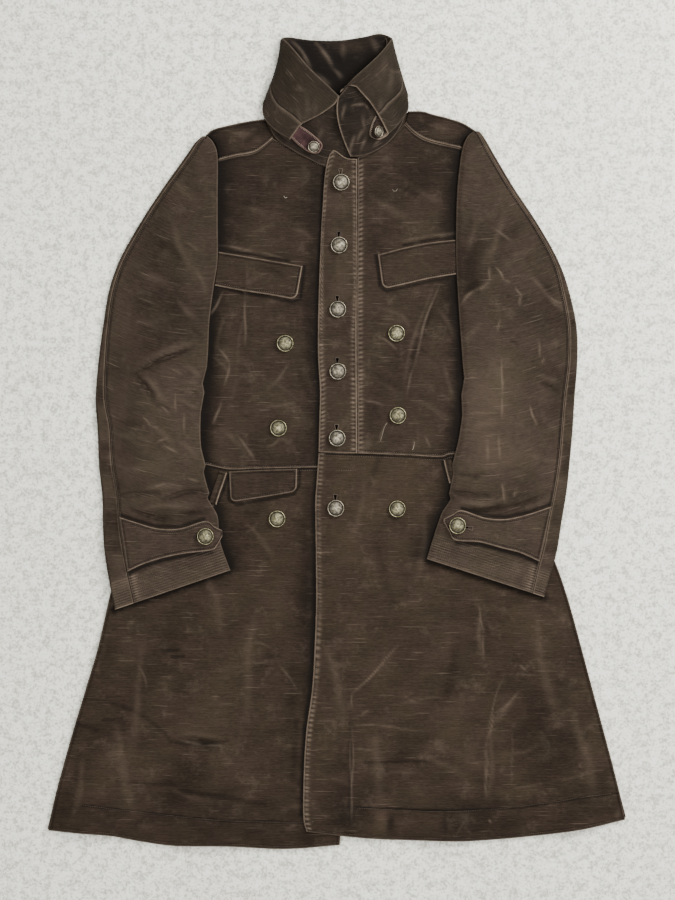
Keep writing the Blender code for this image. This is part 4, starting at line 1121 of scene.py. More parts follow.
# Columns: x, y and height at the lower edge, at the middle and at the upper edge
STAND = [
    (24, 409, 5.8, 16, 462, 9.0, 8, 511, 18), (-18, 413, 5.8, -13, 468, 10, -6, 522, 19),
    (-43, 424, 5.8, -38, 482, 11, -30, 544, 19), (-67, 437, 5.8, -61, 500, 11, -51, 566, 18),
    (-93, 457, 5.9, -80, 522, 10, -66, 586, 14), (-102, 488, 5.6, -86, 544, 7.0, -72, 596, 9.0),
    (-88, 490, 4.6, -75, 546, 4.9, -65, 602, 5.6), (-45, 486, 3.5, -42, 544, 3.9, -38, 600, 4.2),
    (0, 483, 3.5, 0, 543, 3.9, 0, 600, 4.2), (45, 487, 3.5, 42, 546, 3.9, 38, 604, 4.2),
    (88, 493, 4.6, 76, 550, 4.9, 66, 607, 5.6), (104, 498, 5.6, 88, 548, 7.5, 75, 600, 10),
    (97, 474, 6.2, 85, 524, 11, 69, 581, 18), (79, 449, 7.6, 70, 506, 14, 52, 564, 22),
    (57, 434, 10, 46, 490, 17, 33, 546, 24), (38, 427, 12, 24, 484, 18, 17, 531, 24),
    (21, 426, 12, 2, 478, 18, 3, 514, 24),
]
# Columns: the same, from the fold at the top of the stand down to the free edge
FALL = [
    (5, 517, 22.4, -31, 487, 19.4, -75, 450, 13), (-17, 536, 23, -52, 504, 18.6, -91, 464, 11.4),
    (-42, 560, 23, -76, 522, 16, -106, 480, 9.0), (-62, 584, 21, -88, 543, 14, -111, 497, 8.6),
    (-77, 600, 16, -87, 561, 11, -107, 512, 7.4), (-83, 602, 8.8, -88, 566, 6.2, -102, 521, 4.6),
    (-73, 606, 2.8, -81, 554, 2.0, -92, 502, 1.9), (-40, 602, 1.5, -45, 550, 1.3, -50, 494, 1.3),
    (0, 601, 1.5, 0, 548, 1.3, 0, 493, 1.3), (38, 606, 1.5, 45, 552, 1.3, 52, 496, 1.3),
    (64, 611, 2.8, 82, 561, 2.0, 93, 507, 1.9), (81, 605, 9.6, 91, 568, 6.8, 105, 521, 4.8),
    (80, 599, 18, 91, 562, 12, 107, 509, 7.6), (66, 581, 23, 88, 544, 16, 107, 496, 9.0),
    (48, 563, 26, 72, 528, 20, 97, 480, 10), (24, 541, 28, 56, 517, 24.4, 87, 468, 14.5),
    (5, 519, 28, 43, 509, 25, 76, 459, 16.5),
]
# The stand's cloth is a darker copy of the coat's cloth, painting the shade under the fall.
SHADED_STAND_CLOTH = cloth_material("stand_cloth", srgb(16, 10, 8), srgb(40, 31, 26), 9.0, 0.78)
FALL_CLOTH = cloth_material("fall_cloth", srgb(26, 20, 15), srgb(53, 44, 37), 11.0, slubbed=0.34)


def collar_points(table, u, v):
    """Middle of the wall of a collar piece, from its sections."""
    sections = along(table, u)
    v = v[:, None]
    weights = ((1 - v) * (1 - 2 * v), 4 * v * (1 - v), v * (2 * v - 1))
    parts = [w[..., None] * sections[None, :, 3 * n:3 * n + 3] for n, w in enumerate(weights)]
    return parts[0] + parts[1] + parts[2]


def normals(points):
    """Unit normals of a grid, up for a grid that is read downwards and to the left."""
    across = np.gradient(points, axis=1)
    down = np.gradient(points, axis=0)
    found = np.cross(down, across)
    return found / np.maximum(np.linalg.norm(found, axis=2, keepdims=True), 1e-9)


def walled(points, wall, relief, inner_relief):
    """Outer and inner grids either side of the middle of a wall."""
    out = normals(points)
    outer = points + out * (wall / 2 + relief)[..., None]
    inner = points - out * (wall / 2 + inner_relief)[..., None]
    return outer, inner


u, v = ticks(560, 2.6, first=True, last=True), ticks(105, 2.2, first=True, last=True)
points = collar_points(STAND, u, v)
x, y = points[..., 0], points[..., 1]
sides = distances(points)
nearest = np.minimum.reduce(sides)
run, rise = sides[0], sides[2]
STAND_LINES = [
    (8, 479, 13, 503, 1, 0.35, 2.0), (21, 501, 43, 504, 1, 0.40, 1.8), (43, 504, 48, 496, 0, 0.35, 1.8),
    (30, 446, 42, 467, 2, 0.30, 2.2), (42, 467, 40, 489, 1, 0.25, 2.4), (20, 428, 29, 460, 2, 0.35, 2.2),
    (36, 434, 45, 456, 1, 0.30, 2.0), (-30, 430, -20, 470, 3, 0.20, 3.0),
    (54, 440, 66, 452, 1, 0.25, 2.2),
]
INNER_FOLDS = [
    (-68, 600, -37, 555, 4, 2.2, 3.8), (-37, 555, -9, 529, 2, 1.6, 3.8), (-33, 598, -6, 560, 3, 2.0, 3.4),
    (-6, 560, 8, 543, 1, 1.4, 3.0), (-58, 600, -28, 552, 3, -1.6, 5.0), (-22, 598, 4, 562, 3, -1.4, 5.0),
    (8, 598, 9, 574, 1, 1.0, 4.0), (50, 606, 62, 580, 2, 1.0, 5.0), (36, 600, 46, 580, 2, -0.8, 5.0),
]
# Painted shade inside the collar's V, darkest at its bottom, with painted light along its top.
INNER_SHADING = [
    (25, 552, 30, 24, -1.1), (-4, 536, 26, 22, -1.1), (-52, 560, 14, 34, -0.6), (64, 572, 14, 20, -0.8),
    (24, 592, 34, 12, 0.55), (-60, 590, 20, 16, 0.05),
]
folds = (1.1 * np.sin(run / 17 + rise / 26) * np.sin(rise / 21 + run / 60)
         + 0.8 * np.sin(run / 9.5 - rise / 15) * np.sin(run / 43)) * smooth(nearest / 14)
pale = creases(x, y, STAND_LINES)
inside_folds = creases(x, y, INNER_FOLDS)
round_edge = (rounded(nearest) - 1) * WALL
relief = folds + 2.0 * pale + round_edge * 0.5 + edge_relief(sides[1])
inner_relief = 0.9 * np.clip(inside_folds, -0.5, 3) * smooth(nearest / 8) + round_edge * 0.5
outer, inner = walled(points, WALL, relief, inner_relief)
outer[..., 2] = np.maximum(outer[..., 2], BACK_CLEAR)
wear = np.maximum(edge_wear(sides[1], 1.0), edge_wear(sides[2], 0.3))
front = smooth((points[..., 2] - 6) / 6)
wear = np.maximum(wear, edge_wear(sides[3], 0.35) * front)
wear = np.maximum(wear, 0.75 * pale)
# Painted light and shade following the folds, with the inside painted darker as shade and lighter on its
# fold ridges.
shade_and_tone = 0.12 * np.sin(run / 40) + 0.18 * folds
inner_shading = patches_of(x, y, INNER_SHADING) + 0.20 * np.clip(inside_folds, -2.0, 1.6) - 0.36
piece = shell("collar_stand_cloth", outer, inner, SHADED_STAND_CLOTH,
              (wear, 0.12 * inside_folds.clip(0, 2)), (shade_and_tone, inner_shading), wide=1)
dress(piece, "collar_stand")

RIGHT_FALL_END = [(4, 516), (2, 510), (-2, 504), (-12, 496), (-26, 487), (-51, 475), (-56, 470),
                  (-70, 451)]
LEFT_FALL_END = [(5, 520), (13, 529), (21, 531), (29, 529), (37, 520), (49, 507), (60, 491),
                 (68, 477), (77, 459)]
FALL_HEIGHT, BAND_SHARE, END_REACH = 105.0, 0.71, 26.0


def drawn_to(points, gap, column, edge, shares):
    """The grid with the end at this column drawn through the points of an edge."""
    edge = np.array(edge, float)
    run = np.concatenate([[0], np.cumsum(np.linalg.norm(np.diff(edge, axis=0), axis=1))])
    wanted = np.stack([np.interp(shares * run[-1], run, edge[:, axis]) for axis in (0, 1)], 1)
    shift = wanted - points[:, column, :2]
    out = points.copy()
    out[..., :2] += shift[:, None] * (1 - smooth(gap / END_REACH))[..., None]
    return out


u = ticks(600, 2.4, first=True, last=True)
seam_marks = BAND_SHARE + np.array([-4.0, -2.9, -2.0, -1.2, -0.5, 0.2, 1.0, 1.9]) / FALL_HEIGHT
v = ticks(FALL_HEIGHT, 2.0, first=True, last=True)
v = np.sort(np.concatenate([v[np.abs(v - BAND_SHARE + 0.01) > 0.034], seam_marks]))
points = collar_points(FALL, u, v)
sides = distances(points)
points = drawn_to(points, sides[0], 0, RIGHT_FALL_END, v)
points = drawn_to(points, sides[1], -1, LEFT_FALL_END, v)
x, y = points[..., 0], points[..., 1]
sides = distances(points)
nearest = np.minimum.reduce(sides)
run = sides[0]
band = (v[:, None] - BAND_SHARE) * FALL_HEIGHT + 0 * x
FALL_CREASES = [
    (-60, 500, -52, 470, 1, 0.9, 3.0), (-46, 520, -44, 480, 2, 0.7, 4.0),
    (-80, 560, -70, 500, 3, -0.7, 5.0), (-30, 505, -34, 490, 1, 0.7, 3.0),
    (66, 512, 62, 490, 1, 0.9, 3.0), (82, 560, 76, 520, 2, 0.8, 4.0), (90, 530, 84, 500, 2, -0.7, 4.0),
    (56, 530, 60, 510, 1, -0.7, 4.0), (72, 580, 66, 540, 2, 0.6, 5.0),
]
FALL_TONES = [(-60, 490, 26, 20, 0.10), (84, 540, 20, 34, -0.06), (-85, 560, 14, 30, -0.15)]
folds = 0.6 * np.sin(run / 21 + band / 30) * np.sin(band / 25) * smooth(nearest / 14)
fine = creases(x, y, FALL_CREASES)
relief = folds + fine + edge_relief(sides[0]) + edge_relief(sides[1]) + edge_relief(sides[3])
relief += 0.6 * np.exp(-((band / 1.1) ** 2)) - 0.7 * np.exp(-(((band + 2.2) / 1.1) ** 2))
relief += (rounded(nearest) - 1) * FALL_WALL * 0.5
outer, inner = walled(points, FALL_WALL, relief, (rounded(nearest) - 1) * FALL_WALL * 0.5)
outer[..., 2] = np.maximum(outer[..., 2], 0.0)
front = smooth((points[..., 2] - 6) / 6)
wear = np.maximum(edge_wear(sides[0], 0.5), edge_wear(sides[1], 0.9))
wear = np.maximum(wear, edge_wear(sides[3], 0.22))
wear = np.maximum(wear, edge_wear(sides[2], 0.22) * front)
wear = np.maximum(wear, 0.40 * np.exp(-((band / 1.0) ** 2)))
wear = np.maximum(wear, 0.10 * np.clip(fine, 0, 1))
# Painted light and shade on the creases and folds, and a painted shadow line in the groove beside the
# band's seam.
shade_and_tone = patches_of(x, y, FALL_TONES)
shade_and_tone += 0.2 * fine + 0.1 * folds - 0.8 * np.exp(-(((band + 2.0) / 1.2) ** 2))
piece = shell("collar_fall_cloth", outer, inner, FALL_CLOTH, wear, shade_and_tone, wide=2)
dress(piece, "collar_fall")

# The cuff tabs: shaped straps caught in the hind-arm seam of each sleeve, buttoned near the
# inner edge. Same cloth, with a double row of stitches round them.
ABOVE_ALL = 0.2


def heights(*names):
    """A function giving the height in millimetres of the top of these pieces at x, y."""
    meshes = [bpy.data.objects[name + "_cloth"].data for name in names]
    trees = [BVHTree.FromPolygons([v.co for v in mesh.vertices], [p.vertices for p in mesh.polygons])
             for mesh in meshes]

    def found(x, y):
        x, y = np.asarray(x, float), np.asarray(y, float)
        out = np.zeros(x.shape)
        for at in np.ndindex(x.shape):
            start = Vector((x[at] * MM, y[at] * MM, ABOVE_ALL))
            hits = [tree.ray_cast(start, Vector((0, 0, -1)))[0] for tree in trees]
            out[at] = max([hit.z / MM for hit in hits if hit is not None], default=0.0)
        return out

    return found


REACH, LIFT, EASINGS = 4.0, 0.35, 6


def lying(on, x, y):
    """Height that clears what lies below within reach of each point."""
    best = on(x, y)
    for dx, dy in ((REACH, 0), (-REACH, 0), (0, REACH), (0, -REACH)):
        best = np.maximum(best, on(x + dx, y + dy))
    return best


def eased(grid, times):
    """The grid of heights with its steps smoothed out."""
    for _ in range(times):
        wide = np.pad(grid, 1, mode="edge")
        grid = (wide[:-2, 1:-1] + wide[2:, 1:-1] + wide[1:-1, :-2] + wide[1:-1, 2:] + 2 * grid) / 6
    return grid


def sewn_on(node, edges, on, finish, wall, radii=(0, 0), free=(1, 1, 1, 1), step=1.7,
            curl=0.0, seed=1.0, table=(), flanks=None):
    """A flap, tab, strap or welt between its top and bottom edges, laid on what is below.

    free gives the wear of its left, right, top and bottom edges; radii round the two lower
    corners; curl lifts the lower edge; flanks are the side edges where they are curved."""
    top_edge, bottom_edge = (np.array(edge, float) for edge in edges)
    width = np.linalg.norm(np.diff(top_edge, axis=0), axis=1).sum()
    height = max(np.linalg.norm(top_edge[0] - bottom_edge[0]),
                 np.linalg.norm(top_edge[-1] - bottom_edge[-1]))
    u, v = np.meshgrid(ticks(width, step, True, True), ticks(height, step, True, True))
    corner_gap = np.full(u.shape, 1e3)
    for radius, away, way in ((radii[0], u * width, 1), (radii[1], (1 - u) * width, -1)):
        if radius:
            a = np.clip((radius - away) / radius, 0, 1)
            b = np.clip((radius - (1 - v) * height) / radius, 0, 1)
            fx, fy = a * np.sqrt(1 - b * b / 2), b * np.sqrt(1 - a * a / 2)
            both = (a > 0) & (b > 0)
            u = np.where(both, u + way * radius * (a - fx) / width, u)
            v = np.where(both, v - radius * (b - fy) / height, v)
            corner_gap = np.where(both, radius * (1 - np.hypot(fx, fy)), corner_gap)
    ends = flanks or ([top_edge[0], bottom_edge[0]], [top_edge[-1], bottom_edge[-1]])
    points = patch(top_edge, bottom_edge, *ends, u, v)
    x, y = points[..., 0], points[..., 1]
    base = eased(lying(heights(on), x, y), EASINGS) + LIFT
    sides = distances(points)
    gaps = [np.minimum(side, corner_gap) for side in sides]
    wear = np.zeros_like(x)
    fine = creases(x, y, table)
    for side, worn in zip(gaps, free):
        if worn:
            wear = np.maximum(wear, edge_wear(side, worn))
    loose = np.minimum.reduce([g for g, worn in zip(gaps, free) if worn])
    nearest = np.minimum.reduce(gaps)
    relief = fine + edge_relief(loose)
    relief += 0.30 * np.sin(x / 11 + seed) * np.sin(y / 9 + 2 * seed) * smooth(nearest / 8)
    base += curl * (1 - smooth(sides[3] / height * 1.4)) * (0.5 + 0.5 * np.sin(x / 17 + seed))
    top = np.dstack([x, y, base + wall * rounded(nearest) + relief * smooth(nearest / 1.2)])
    bottom = np.dstack([x, y, base])
    # Painted light on crease ridges, painted shade in their troughs and in the groove of the stitches.
    shade_and_tone = 0.45 * fine - 0.45 * np.exp(-(((loose - 3.8) / 1.2) ** 2))
    piece = shell(node + "_cloth", top, bottom, finish, wear, shade_and_tone, straight=True)
    dress(piece, node)


TRIM_CLOTH = cloth_material("trim_cloth", srgb(34, 25, 21), srgb(66, 54, 47), 13.0)
RIGHT_CUFF_TAB = [[(-325, -113), (-303, -120), (-268, -130), (-234, -130),
                   (-197, -119), (-183, -127), (-169, -134)],
                  [(-313, -195), (-292, -185), (-262, -175), (-228, -168),
                   (-188, -163), (-179, -156), (-169, -138)]]
LEFT_CUFF_TAB = [[(160, -116), (174, -109), (188, -103), (222, -114),
                  (253, -116), (286, -109), (322, -97)],
                 [(160, -120), (169, -135), (178, -148), (214, -151),
                  (248, -160), (275, -167), (304, -180)]]
FLAP_WALL = 2.0
for side, edges, worn in (("right", RIGHT_CUFF_TAB, (0.3, 0.9, 0.6, 1.0)),
                          ("left", LEFT_CUFF_TAB, (0.9, 0.3, 0.7, 1.0))):
    sewn_on(f"{side}_cuff_tab", edges, f"{side}_upper_sleeve", TRIM_CLOTH, FLAP_WALL,
            free=worn, seed=2.0)


# The collar straps: short leather-like straps with a rounded end, sewn under the fall on each
# side and buttoned to the stand. The right one shows its mauve underside, the left its cloth.
def strap_material():
    made, w, shader = new_material("strap_leather")
    place = w.place()
    wear = w.painted("wear")
    grainy = w.noise(place, 900.0, 3.0, 0.6)
    cloud = w.noise(place, 45.0, 4.0, 0.6)
    edge = w.node("ShaderNodeGroup", {"node_tree": RUBBED}, Place=place, Wear=wear)
    colour = w.mix(w.ramp(cloud, 0.3, 0.7), srgb(34, 18, 19), srgb(70, 47, 49))
    colour = w.mix(w.times(edge.outputs["Mask"], 0.9), colour, srgb(118, 98, 88))
    w.feed(shader, "Base Color", colour)
    w.feed(shader, "Roughness", w.add(w.times(grainy, 0.2), 0.66))
    shader.inputs["Specular IOR Level"].default_value = 0.15
    w.bump(shader, grainy, 0.5, 0.0004)
    return made


STRAP_LEATHER = strap_material()
STRAP_CLOTH = cloth_material("strap_cloth", srgb(26, 17, 15), srgb(52, 39, 35), 15.0)
STRAP_WALL = 1.8
RIGHT_STRAP = [[(-69, 455), (-62, 477)], [(-27, 430), (-19, 444)]]
RIGHT_STRAP_FLANKS = ([(-69, 455), (-55, 442), (-41, 433), (-27, 430)],
                      [(-62, 477), (-45, 467), (-30, 455), (-19, 444)])
LEFT_STRAP = [[(58, 487), (68, 487)], [(50, 448), (77, 450)]]
LEFT_STRAP_FLANKS = ([(58, 487), (52, 474), (49, 461), (50, 448)],
                     [(68, 487), (77, 476), (79, 463), (77, 450)])
for side, edges, finish, radii, flanks in (
        ("right", RIGHT_STRAP, STRAP_LEATHER, (7.5, 7.5), RIGHT_STRAP_FLANKS),
        ("left", LEFT_STRAP, STRAP_CLOTH, (12, 13), LEFT_STRAP_FLANKS)):
    sewn_on(f"{side}_collar_strap", edges, "collar_stand", finish, STRAP_WALL,
            radii=radii, free=(1, 1, 0, 1), step=1.2, flanks=flanks)

# The pocket flaps and welts: two chest flaps, one hip flap on the wearer's right, and a slanted
# hip pocket welt at each side. Each flap hangs from its top seam, with round lower corners.
RIGHT_CHEST_FLAP = [[(-176.8, 284.3), (-133, 277), (-92, 270), (-51, 263)],
                    [(-182.6, 233.5), (-143, 226), (-103, 220), (-60, 212)]]
LEFT_CHEST_FLAP = [[(62, 280), (100, 290), (140, 298), (178.4, 302.3)],
                   [(69, 228), (105, 236), (140, 244), (179.2, 250.3)]]
RIGHT_HIP_FLAP = [[(-161, -45), (-127, -43), (-93, -42), (-59, -41)],
                  [(-159, -91), (-125, -86), (-94, -81), (-60, -75)]]
RIGHT_WELT = [[(-164, -47), (-169, -62), (-175, -79), (-180, -95)],
              [(-176, -44), (-181, -59), (-187, -76), (-192, -92)]]
LEFT_WELT = [[(172, -27), (175, -39), (177, -51), (180, -62)],
             [(160.5, -28), (163, -40), (166, -52), (169, -63)]]
WELT_WALL = 1.5
FLAP_CREASES = [
    (-138, 268, -136, 226, 2, 0.7, 2.2), (-120, 262, -78, 248, 3, -0.5, 4.0),
    (110, 276, 150, 252, 3, 0.5, 4.0), (-150, -60, -110, -52, 3, 0.4, 4.0),
    (-84, -58, -80, -80, -4, 0.5, 1.6), (-196, -50, -166, -53, 0, 0.7, 1.8),
    (-196, -58, -168, -60, 0, 0.7, 1.8), (-198, -66, -170, -68, 0, 0.7, 1.8),
    (-198, -74, -173, -76, 0, 0.7, 1.8), (-198, -82, -176, -84, 0, 0.7, 1.8),
]
for node, edges, below, worn, radii in (
        ("right_chest_flap", RIGHT_CHEST_FLAP, "right_front_bodice", (0, 1.0, 0.5, 1.0), (0, 11)),
        ("left_chest_flap", LEFT_CHEST_FLAP, "left_front_bodice", (1.0, 0, 0.5, 1.0), (11, 0)),
        ("right_hip_flap", RIGHT_HIP_FLAP, "right_front_skirt", (0.75, 0.75, 0.3, 0.7), (9, 10)),
        ("right_pocket_welt", RIGHT_WELT, "right_front_skirt", (0.1, 0, 1.0, 0), (0, 0)),
        ("left_pocket_welt", LEFT_WELT, "left_front_skirt", (0, 0.1, 0, 1.0), (0, 0))):
    wall, curl = (WELT_WALL, 0.0) if "welt" in node else (FLAP_WALL, 0.6)
    sewn_on(node, edges, below, BODY_CLOTH, wall, radii=radii, free=worn, seed=3.0,
            table=FLAP_CREASES, curl=curl)

# The stitching: rows of short brown thread stitches just inside the edges and along the seams,
# ten close rows round each cuff. Each group is one mesh made by a node tree from its guides.
def stitch_tree():
    """Stitches of a given length and thickness, set at a pitch along the guide's edges."""
    tree = bpy.data.node_groups.new("stitch_rows", "GeometryNodeTree")
    face = tree.interface
    face.new_socket(name="Guide", in_out="INPUT", socket_type="NodeSocketGeometry")
    for label, value in (("Pitch", 0.0034), ("Length", 0.0026), ("Thickness", 0.0006)):
        face.new_socket(name=label, in_out="INPUT", socket_type="NodeSocketFloat").default_value = value
    face.new_socket(name="Seed", in_out="INPUT", socket_type="NodeSocketInt").default_value = 7
    face.new_socket(name="Finish", in_out="INPUT", socket_type="NodeSocketMaterial")
    face.new_socket(name="Stitches", in_out="OUTPUT", socket_type="NodeSocketGeometry")
    w = Weaver(tree)
    given, out = w.node("NodeGroupInput"), w.node("NodeGroupOutput")
    curve = w.node("GeometryNodeMeshToCurve", {}, Mesh=given.outputs["Guide"])
    dots = w.node("GeometryNodeCurveToPoints", {"mode": "LENGTH"}, Curve=curve.outputs[0],
                  Length=given.outputs["Pitch"])
    bead = w.node("GeometryNodeMeshUVSphere", {}, Segments=5, Rings=4, Radius=1.0)
    vary = w.node("FunctionNodeRandomValue", {"data_type": "FLOAT"})
    low, high = [s for s in vary.inputs if s.type == "VALUE" and s.name in ("Min", "Max")]
    low.default_value, high.default_value = 0.40, 0.52
    w.feed(vary, "Seed", given.outputs["Seed"])
    span = [s for s in vary.outputs if s.type == "VALUE"][0]
    half = w.times(given.outputs["Thickness"], 0.5)
    size = w.node("ShaderNodeCombineXYZ", {}, X=half, Y=half, Z=w.times(given.outputs["Length"], span))
    copies = w.node("GeometryNodeInstanceOnPoints", {}, Points=dots.outputs["Points"],
                    Instance=bead.outputs["Mesh"], Rotation=dots.outputs["Rotation"],
                    Scale=size.outputs[0])
    real = w.node("GeometryNodeRealizeInstances", {}, Geometry=copies.outputs[0])
    done = w.node("GeometryNodeSetMaterial", {}, Geometry=real.outputs[0],
                  Material=given.outputs["Finish"])
    w.feed(out, "Stitches", done.outputs[0])
    return tree


def thread_material(name, dark, light):
    """Twisted cotton thread."""
    made, w, shader = new_material(name)
    place = w.place()
    w.feed(shader, "Base Color", w.mix(w.ramp(w.noise(place, 60.0, 3.0), 0.3, 0.7), dark, light))
    twist = w.noise(place, 2400.0, 1.0)
    w.feed(shader, "Roughness", w.add(w.times(twist, 0.2), 0.6))
    w.bump(shader, twist, 0.4, 0.0002)
    return made


STITCH_TREE = stitch_tree()
BROWN_THREAD = thread_material("brown_thread", srgb(44, 34, 27), srgb(104, 89, 76))
HOLE_THREAD = thread_material("hole_thread", srgb(34, 25, 19), srgb(74, 61, 50))
PALE_THREAD = thread_material("pale_thread", srgb(120, 110, 98), srgb(178, 168, 152))
THREAD_SINK, STITCH_SEED = 0.1, 7


def stitched(name, on, guides, pitch=3.4, length=2.7, thickness=0.6, finish=BROWN_THREAD):
    """Rows of stitches along the guides, which are lists of x, y, on top of what is below."""
    verts, edges = [], []
    for guide in guides:
        guide = np.array(guide, float)
        spans = np.linalg.norm(np.diff(guide, axis=0), axis=1)
        total = np.concatenate([[0], np.cumsum(spans)])
        at = np.linspace(0, total[-1], max(2, int(total[-1] / 4)))
        x, y = np.interp(at, total, guide[:, 0]), np.interp(at, total, guide[:, 1])
        z = on(x, y) + thickness / 2 - THREAD_SINK
        start = len(verts)
        verts += [(a * MM, b * MM, c * MM) for a, b, c in zip(x, y, z)]
        edges += [(start + i, start + i + 1) for i in range(len(x) - 1)]
    mesh = bpy.data.meshes.new(name)
    mesh.from_pydata(verts, edges, [])
    rows = placed(name, mesh)
    maker = rows.modifiers.new("stitches", "NODES")
    maker.node_group = STITCH_TREE
    values = {"Pitch": pitch * MM, "Length": length * MM, "Thickness": thickness * MM,
              "Seed": STITCH_SEED, "Finish": finish}
    for item in STITCH_TREE.interface.items_tree:
        if item.in_out == "INPUT" and item.name in values:
            maker[item.identifier] = values[item.name]
    made = rows.evaluated_get(bpy.context.evaluated_depsgraph_get())
    plain = bpy.data.meshes.new_from_object(made)
    rows.modifiers.clear()
    rows.data = plain
    plain.shade_smooth()
    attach(rows, "root")


def inset(edge, amount, count=60):
    """The smooth curve through an edge's rows, moved sideways to the left of its run."""
    curve = along(edge, np.linspace(0, 1, count))
    run = np.gradient(curve, axis=0)
    run /= np.linalg.norm(run, axis=1, keepdims=True)
    return curve + amount * np.stack([-run[:, 1], run[:, 0]], 1)


PLACKET_SEAM = [(31, 410), (30, 200), (31, -14)]
stitched("front_stitching", heights("front_placket", "left_front_bodice"), [
    inset(PLACKET_EDGE[1:], 4.3), inset(PLACKET_TOP, -4.0, 20), inset(PLACKET_SEAM, -3.4),
    inset(PLACKET_SEAM, 3.6), inset(LEFT_WAIST, 3.6)])
stitched("under_front_stitching", heights("right_front_bodice"), [
    inset(RIGHT_WAIST, 3.4), inset(RIGHT_NECK_EDGE[3:], -4.0, 30)])
HEM_SEAM_RIGHT = [(-382, -544), (-290, -556), (-168, -568), (-54, -571), (-36, -570)]
HEM_SEAM_LEFT = [(28, -549), (128, -554), (226, -552), (312, -542), (358, -534), (410, -528)]
stitched("skirt_stitching", heights("left_front_skirt", "right_front_skirt"), [
    inset(SKIRT_EDGE, 4.3), inset(LEFT_SKIRT_TOP, -3.4), inset(RIGHT_WAIST[3:], -4.2, 30),
    inset(HEM_SEAM_RIGHT, 0.0, 40), inset(HEM_SEAM_LEFT, 0.0, 40),
    inset(RIGHT_HEM, 4.0), inset(LEFT_HEM, 4.0)])
stitched("yoke_stitching", heights("right_yoke", "left_yoke"), [
    inset(RIGHT_NECK_EDGE[:4], 3.4, 24), inset(LEFT_NECK_EDGE[4:], 3.4, 24)])
CUFF_ROWS, CUFF_SPAN = 10, 45.0
for side, table, edges in (("right", RIGHT_SLEEVE, RIGHT_CUFF_TAB),
                           ("left", LEFT_SLEEVE, LEFT_CUFF_TAB)):
    sleeve = heights(f"{side}_upper_sleeve", f"{side}_under_sleeve")
    rows = []
    lower, before = np.array(table[-1][:4], float), np.array(table[-2][:4], float)
    for number in range(CUFF_ROWS):
        back = (4.0 + ROW_PITCH * number) / CUFF_SPAN
        ends = lower + (before - lower) * back
        rows.append([ends[:2] + (ends[2:] - ends[:2]) * f for f in np.linspace(0.02, 0.985, 12)])
    sections = along(table, np.linspace(0.03, 0.99, 90))
    reach = np.linalg.norm(sections[:, 2:4] - sections[:, :2], axis=1)
    f = ((reach - sections[:, 4] - SEAM - 3.6) / reach)[:, None]
    rows.append(sections[:, :2] + f * (sections[:, 2:4] - sections[:, :2]))
    stitched(f"{side}_sleeve_stitching", sleeve, rows, pitch=2.9, length=2.2,
             thickness=0.5)
    guides = [inset(edges[0], -gap, 40) for gap in (3.4, 6.4)]
    guides += [inset(edges[1], gap, 40) for gap in (3.4, 6.4)]
    stitched(f"{side}_tab_stitching", heights(f"{side}_cuff_tab"), guides,
             pitch=3.0, length=2.3, thickness=0.5)
flaps = heights("right_chest_flap", "left_chest_flap", "right_hip_flap")
stitched("flap_stitching", flaps, [
    inset([(-178, 233), (-143, 226), (-103, 220), (-68, 214)], 4.2, 30),
    inset([(-53, 258), (-57, 236), (-60, 224)], -4.2, 14),
    inset([(76, 230), (105, 236), (140, 244), (176, 250)], 4.2, 30),
    inset([(64, 274), (66, 254), (69, 240)], 4.2, 14),
    inset([(-150, -90), (-125, -86), (-94, -81), (-70, -77)], 4.2, 24),
    inset([(-161, -50), (-160, -70), (-159, -84)], 4.2, 14),
    inset([(-59, -46), (-60, -60), (-60, -67)], -4.2, 14)])
strap_tops = heights("right_collar_strap", "left_collar_strap")
stitched("strap_stitching", strap_tops, [
    inset(RIGHT_STRAP_FLANKS[0], 2.6, 20), inset(RIGHT_STRAP_FLANKS[1], -2.6, 20),
    inset(LEFT_STRAP_FLANKS[0], 2.4, 14), inset(LEFT_STRAP_FLANKS[1][:3], -2.4, 14)],
    pitch=2.6, length=1.9, thickness=0.45, finish=PALE_THREAD)

# The buttonholes: keyhole slots worked round with thread, upright above each centre button and
# lying along the cuff tabs. The dark of the slot shows beside each button.
def dark_material():
    made, w, shader = new_material("slot_shadow")
    place = w.place()
    w.feed(shader, "Base Color", w.mix(w.noise(place, 300.0), srgb(5, 3, 2), srgb(14, 10, 8)))
    shader.inputs["Roughness"].default_value = 0.95
    shader.inputs["Specular IOR Level"].default_value = 0.0
    return made


SLOT_SHADOW, SLOT_POINTS = dark_material(), 120
CENTRE_BUTTONS = [(7, 388), (4, 294), (2, 198), (2, 105), (1, 5), (-1, -100)]


def ring_bands(rows, count, closed=False):
    """Faces between rings of points; a closed run joins the last ring to the first."""
    faces = []
    for i in range(rows if closed else rows - 1):
        k = (i + 1) % rows
        for j in range(count):
            m = (j + 1) % count
            faces.append((i * count + j, i * count + m, k * count + m, k * count + j))
    return faces


def tube(ring_centres, radius, sides, closed):
    """Vertices and faces of a tube round a list of points; radius may be one for each."""
    centres = np.array(ring_centres, float)
    if closed:
        run = np.roll(centres, -1, 0) - np.roll(centres, 1, 0)
    else:
        run = np.gradient(centres, axis=0)
    run /= np.linalg.norm(run, axis=1, keepdims=True)
    side = np.stack([-run[:, 1], run[:, 0], np.zeros(len(run))], 1)
    side /= np.maximum(np.linalg.norm(side, axis=1, keepdims=True), 1e-9)
    up = np.cross(run, side)
    radius = np.broadcast_to(np.asarray(radius, float), (len(centres),))
    turn = np.linspace(0, 2 * math.pi, sides, endpoint=False)
    rings = (centres[:, None] + radius[:, None, None] * (
        np.cos(turn)[None, :, None] * side[:, None] + np.sin(turn)[None, :, None] * up[:, None]))
    count = len(centres)
    faces = ring_bands(count, sides, closed)
    if not closed:
        faces.append(tuple(range(sides))[::-1])
        faces.append(tuple((count - 1) * sides + j for j in range(sides)))
    return rings.reshape(-1, 3), faces


